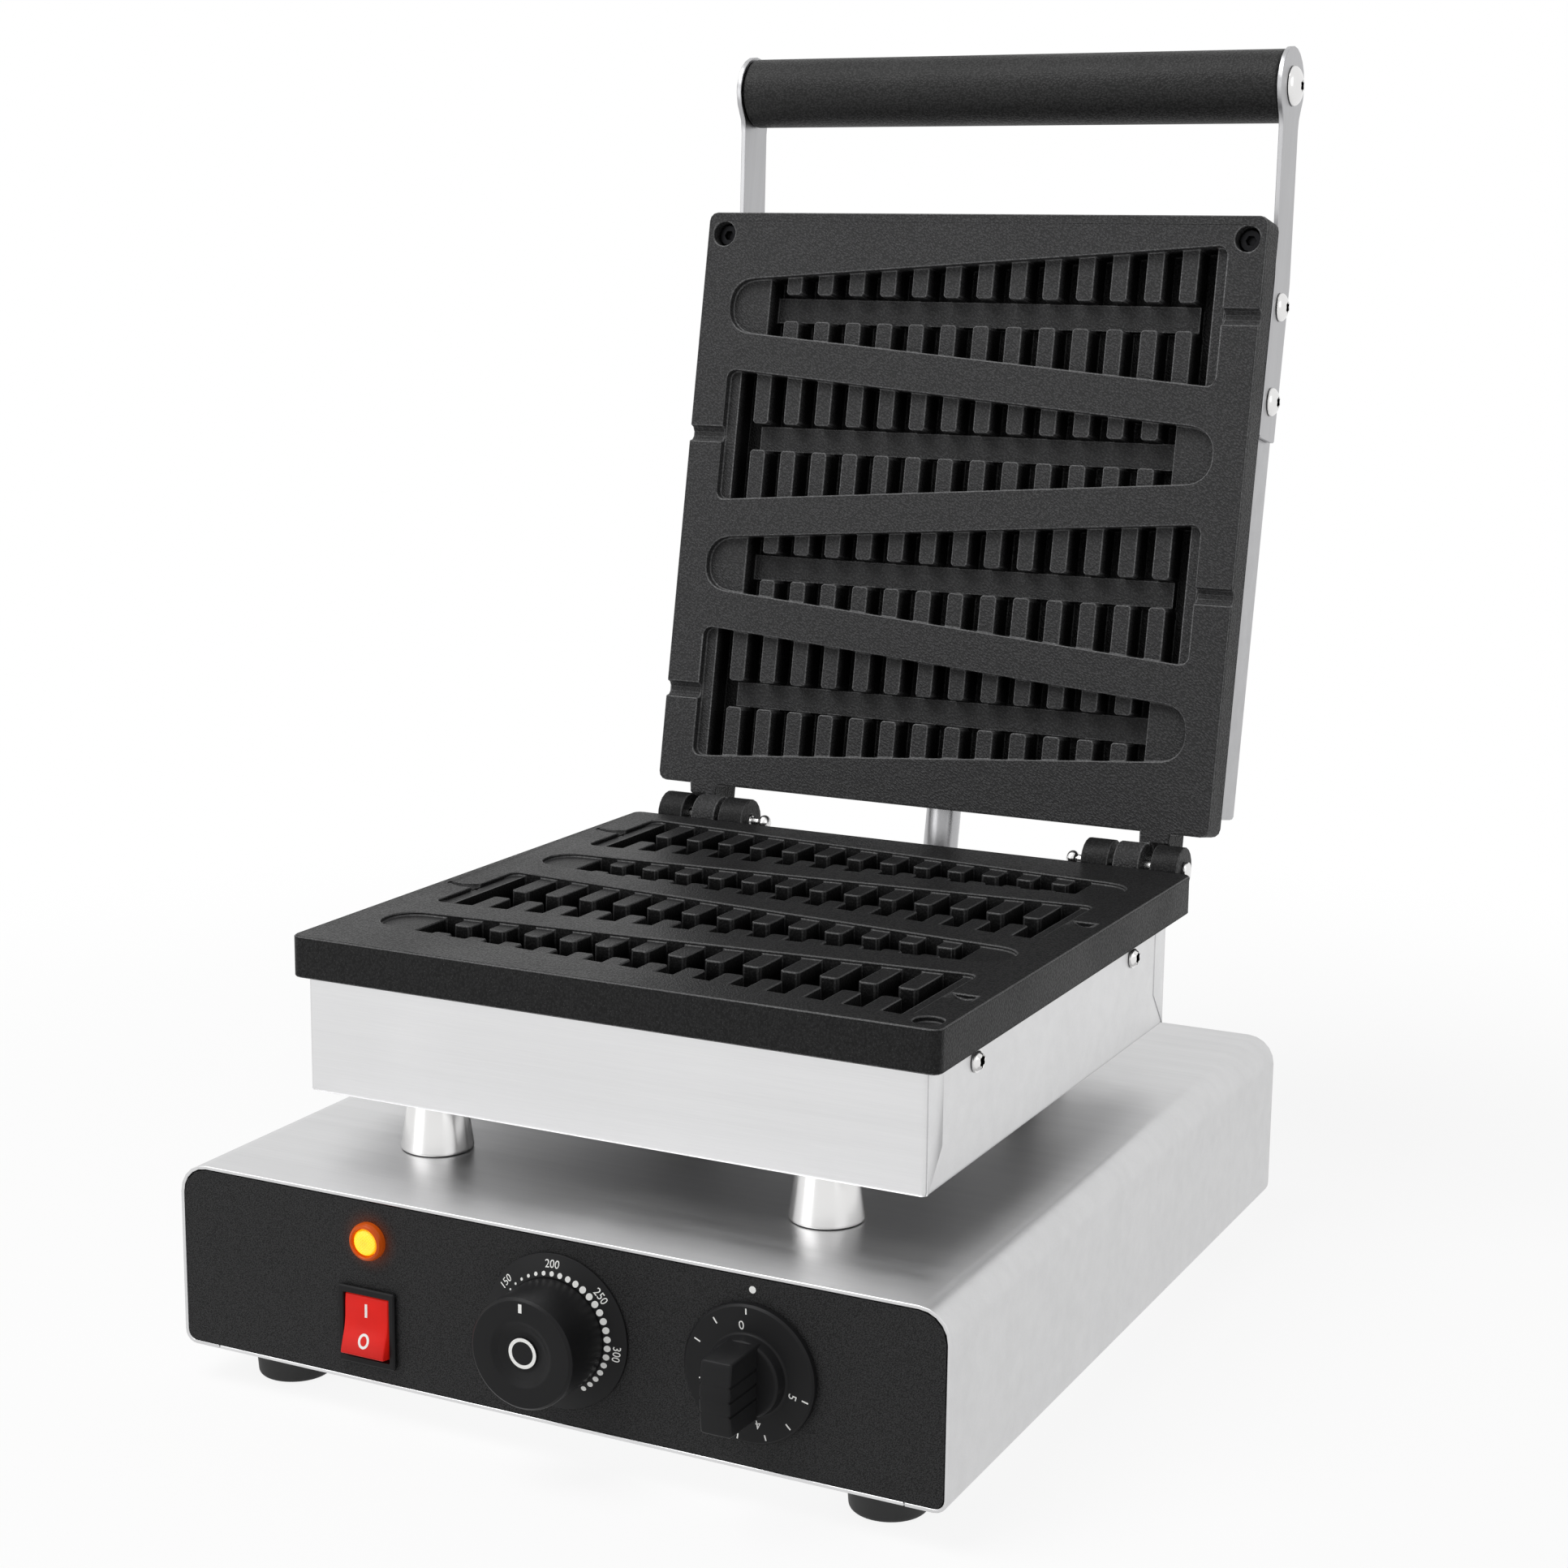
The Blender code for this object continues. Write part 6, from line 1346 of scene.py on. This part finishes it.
class IRON_OT_studio(bpy.types.Operator):
    """Set the floor, the lamps, the white surroundings and the camera"""

    bl_idname = "iron.studio"
    bl_label = "Studio"

    aim = Vector((0, 0, 0.2))
    camera_place = (0.4369, -0.882763, 0.3841)
    camera_back = Vector((0.4391, -0.8772, 0.1943))
    camera_top = Vector((-0.0960, 0.1692, 0.9809))

    def execute(self, context):
        scene = context.scene
        studio = scene.iron_studio
        scene.view_settings.view_transform = "Standard"
        self.floor(studio.floor_shine)
        self.surroundings(scene, studio.sky)
        self.lamp("key lamp", (-0.7, -0.9, 2.1), 1.5, studio.key_power)
        self.lamp("side lamp", (2.2, -0.9, 1.2), 1.6, studio.side_power)
        self.lamp("front lamp", (-1.3, -2.0, 0.5), 1.3, studio.front_power)
        scene.camera = self.camera(studio.focal_length)
        return {"FINISHED"}

    def add_object(self, name, data):
        made = bpy.data.objects.new(name, data)
        bpy.context.scene.collection.objects.link(made)
        return made

    def seen_directly(self, tree):
        """1 for rays from the camera, from metal or through glass."""
        path = tree.add("ShaderNodeLightPath").outputs
        gloss = tree.math("MAXIMUM", path["Is Glossy Ray"], path["Is Transmission Ray"])
        return tree.math("MAXIMUM", path["Is Camera Ray"], gloss)

    def floor(self, shine):
        """A pale floor that takes shadows, and fades to plain white away from the object."""
        mesh = bpy.data.meshes.new("studio_floor")
        reach = 6.0
        corners = [(-reach, -reach, 0), (reach, -reach, 0), (reach, reach, 0), (-reach, reach, 0)]
        mesh.from_pydata(corners, [], [(0, 1, 2, 3)])
        material, tree, _ = new_finish(
            "studio floor", colours().floor, 0.7, Specular_IOR_Level=0.2,
        )
        away = tree.vector("LENGTH", tree.place(), output="Value")
        white = tree.span(away, 0.3, 0.8, shine, 1.0, smooth=True)
        share = tree.math("MULTIPLY", self.seen_directly(tree), white)
        glow = tree.add("ShaderNodeEmission", {"Color": (1, 1, 1, 1), "Strength": 1.0})
        nodes = material.node_tree.nodes
        lit = nodes["Principled BSDF"].outputs[0]
        mix = tree.add("ShaderNodeMixShader", {0: share, 1: lit, 2: glow.outputs[0]})
        tree.link(mix.outputs[0], nodes["Material Output"].inputs["Surface"])
        mesh.materials.append(material)
        self.add_object("studio_floor", mesh)

    def surroundings(self, scene, sky):
        """White where it is seen directly, and dimmer as a light."""
        scene.world = bpy.data.worlds.new("studio")
        scene.world.use_nodes = True
        tree = Tree(scene.world.node_tree)
        tree.tree.nodes.clear()
        dim, white = [
            tree.add("ShaderNodeBackground", {0: (1, 1, 1, 1), 1: strength}).outputs[0]
            for strength in (sky, 1.0)
        ]
        mix = tree.add("ShaderNodeMixShader", {0: self.seen_directly(tree), 1: dim, 2: white})
        tree.add("ShaderNodeOutputWorld", {"Surface": mix.outputs[0]})

    def lamp(self, name, place, size, power):
        light = bpy.data.lights.new(name, "AREA")
        light.shape = "SQUARE"
        light.size = size
        light.energy = power
        lamp = self.add_object(name, light)
        lamp.location = place
        lamp.rotation_euler = (self.aim - lamp.location).to_track_quat("-Z", "Y").to_euler()

    def camera(self, focal_length):
        data = bpy.data.cameras.new("camera")
        data.lens = focal_length
        data.sensor_width = 36
        data.clip_start = 0.01
        camera = self.add_object("camera", data)
        back = self.camera_back.normalized()
        right = self.camera_top.cross(back).normalized()
        turn = Matrix((right, back.cross(right), back)).transposed().to_4x4()
        camera.matrix_world = Matrix.Translation(self.camera_place) @ turn
        return camera


PIECES = (
    IRON_OT_finishes, IRON_OT_sheet_metal, IRON_OT_castings, IRON_OT_fasteners,
    IRON_OT_feet_and_posts, IRON_OT_panel, IRON_OT_lamp, IRON_OT_switch, IRON_OT_thermostat,
    IRON_OT_timer, IRON_OT_handle, IRON_OT_inner_parts, IRON_OT_studio,
)


class IRON_PT_sidebar(bpy.types.Panel):
    """Lists the machine's groups of pieces and their settings"""

    bl_idname = "IRON_PT_sidebar"
    bl_label = "Waffle Iron"
    bl_space_type = "VIEW_3D"
    bl_region_type = "UI"
    bl_category = "Waffle Iron"

    def draw(self, context):
        for piece in PIECES:
            self.layout.operator(piece.bl_idname, text=piece.bl_label)
        for settings in (
            context.scene.iron_sizes, context.scene.iron_colours, context.scene.iron_studio,
        ):
            box = self.layout.box()
            for field in settings.__annotations__:
                box.prop(settings, field)


CLASSES = (IronSizes, IronColours, StudioSettings, *PIECES, IRON_PT_sidebar)


def register():
    for cls in CLASSES:
        bpy.utils.register_class(cls)
    bpy.types.Scene.iron_sizes = bpy.props.PointerProperty(type=IronSizes)
    bpy.types.Scene.iron_colours = bpy.props.PointerProperty(type=IronColours)
    bpy.types.Scene.iron_studio = bpy.props.PointerProperty(type=StudioSettings)


def unregister():
    del bpy.types.Scene.iron_studio
    del bpy.types.Scene.iron_colours
    del bpy.types.Scene.iron_sizes
    for cls in reversed(CLASSES):
        bpy.utils.unregister_class(cls)


def main():
    register()
    for piece in PIECES:
        getattr(bpy.ops.iron, piece.bl_idname.removeprefix("iron."))()
    bpy.context.view_layer.update()


if __name__ == "__main__":
    main()
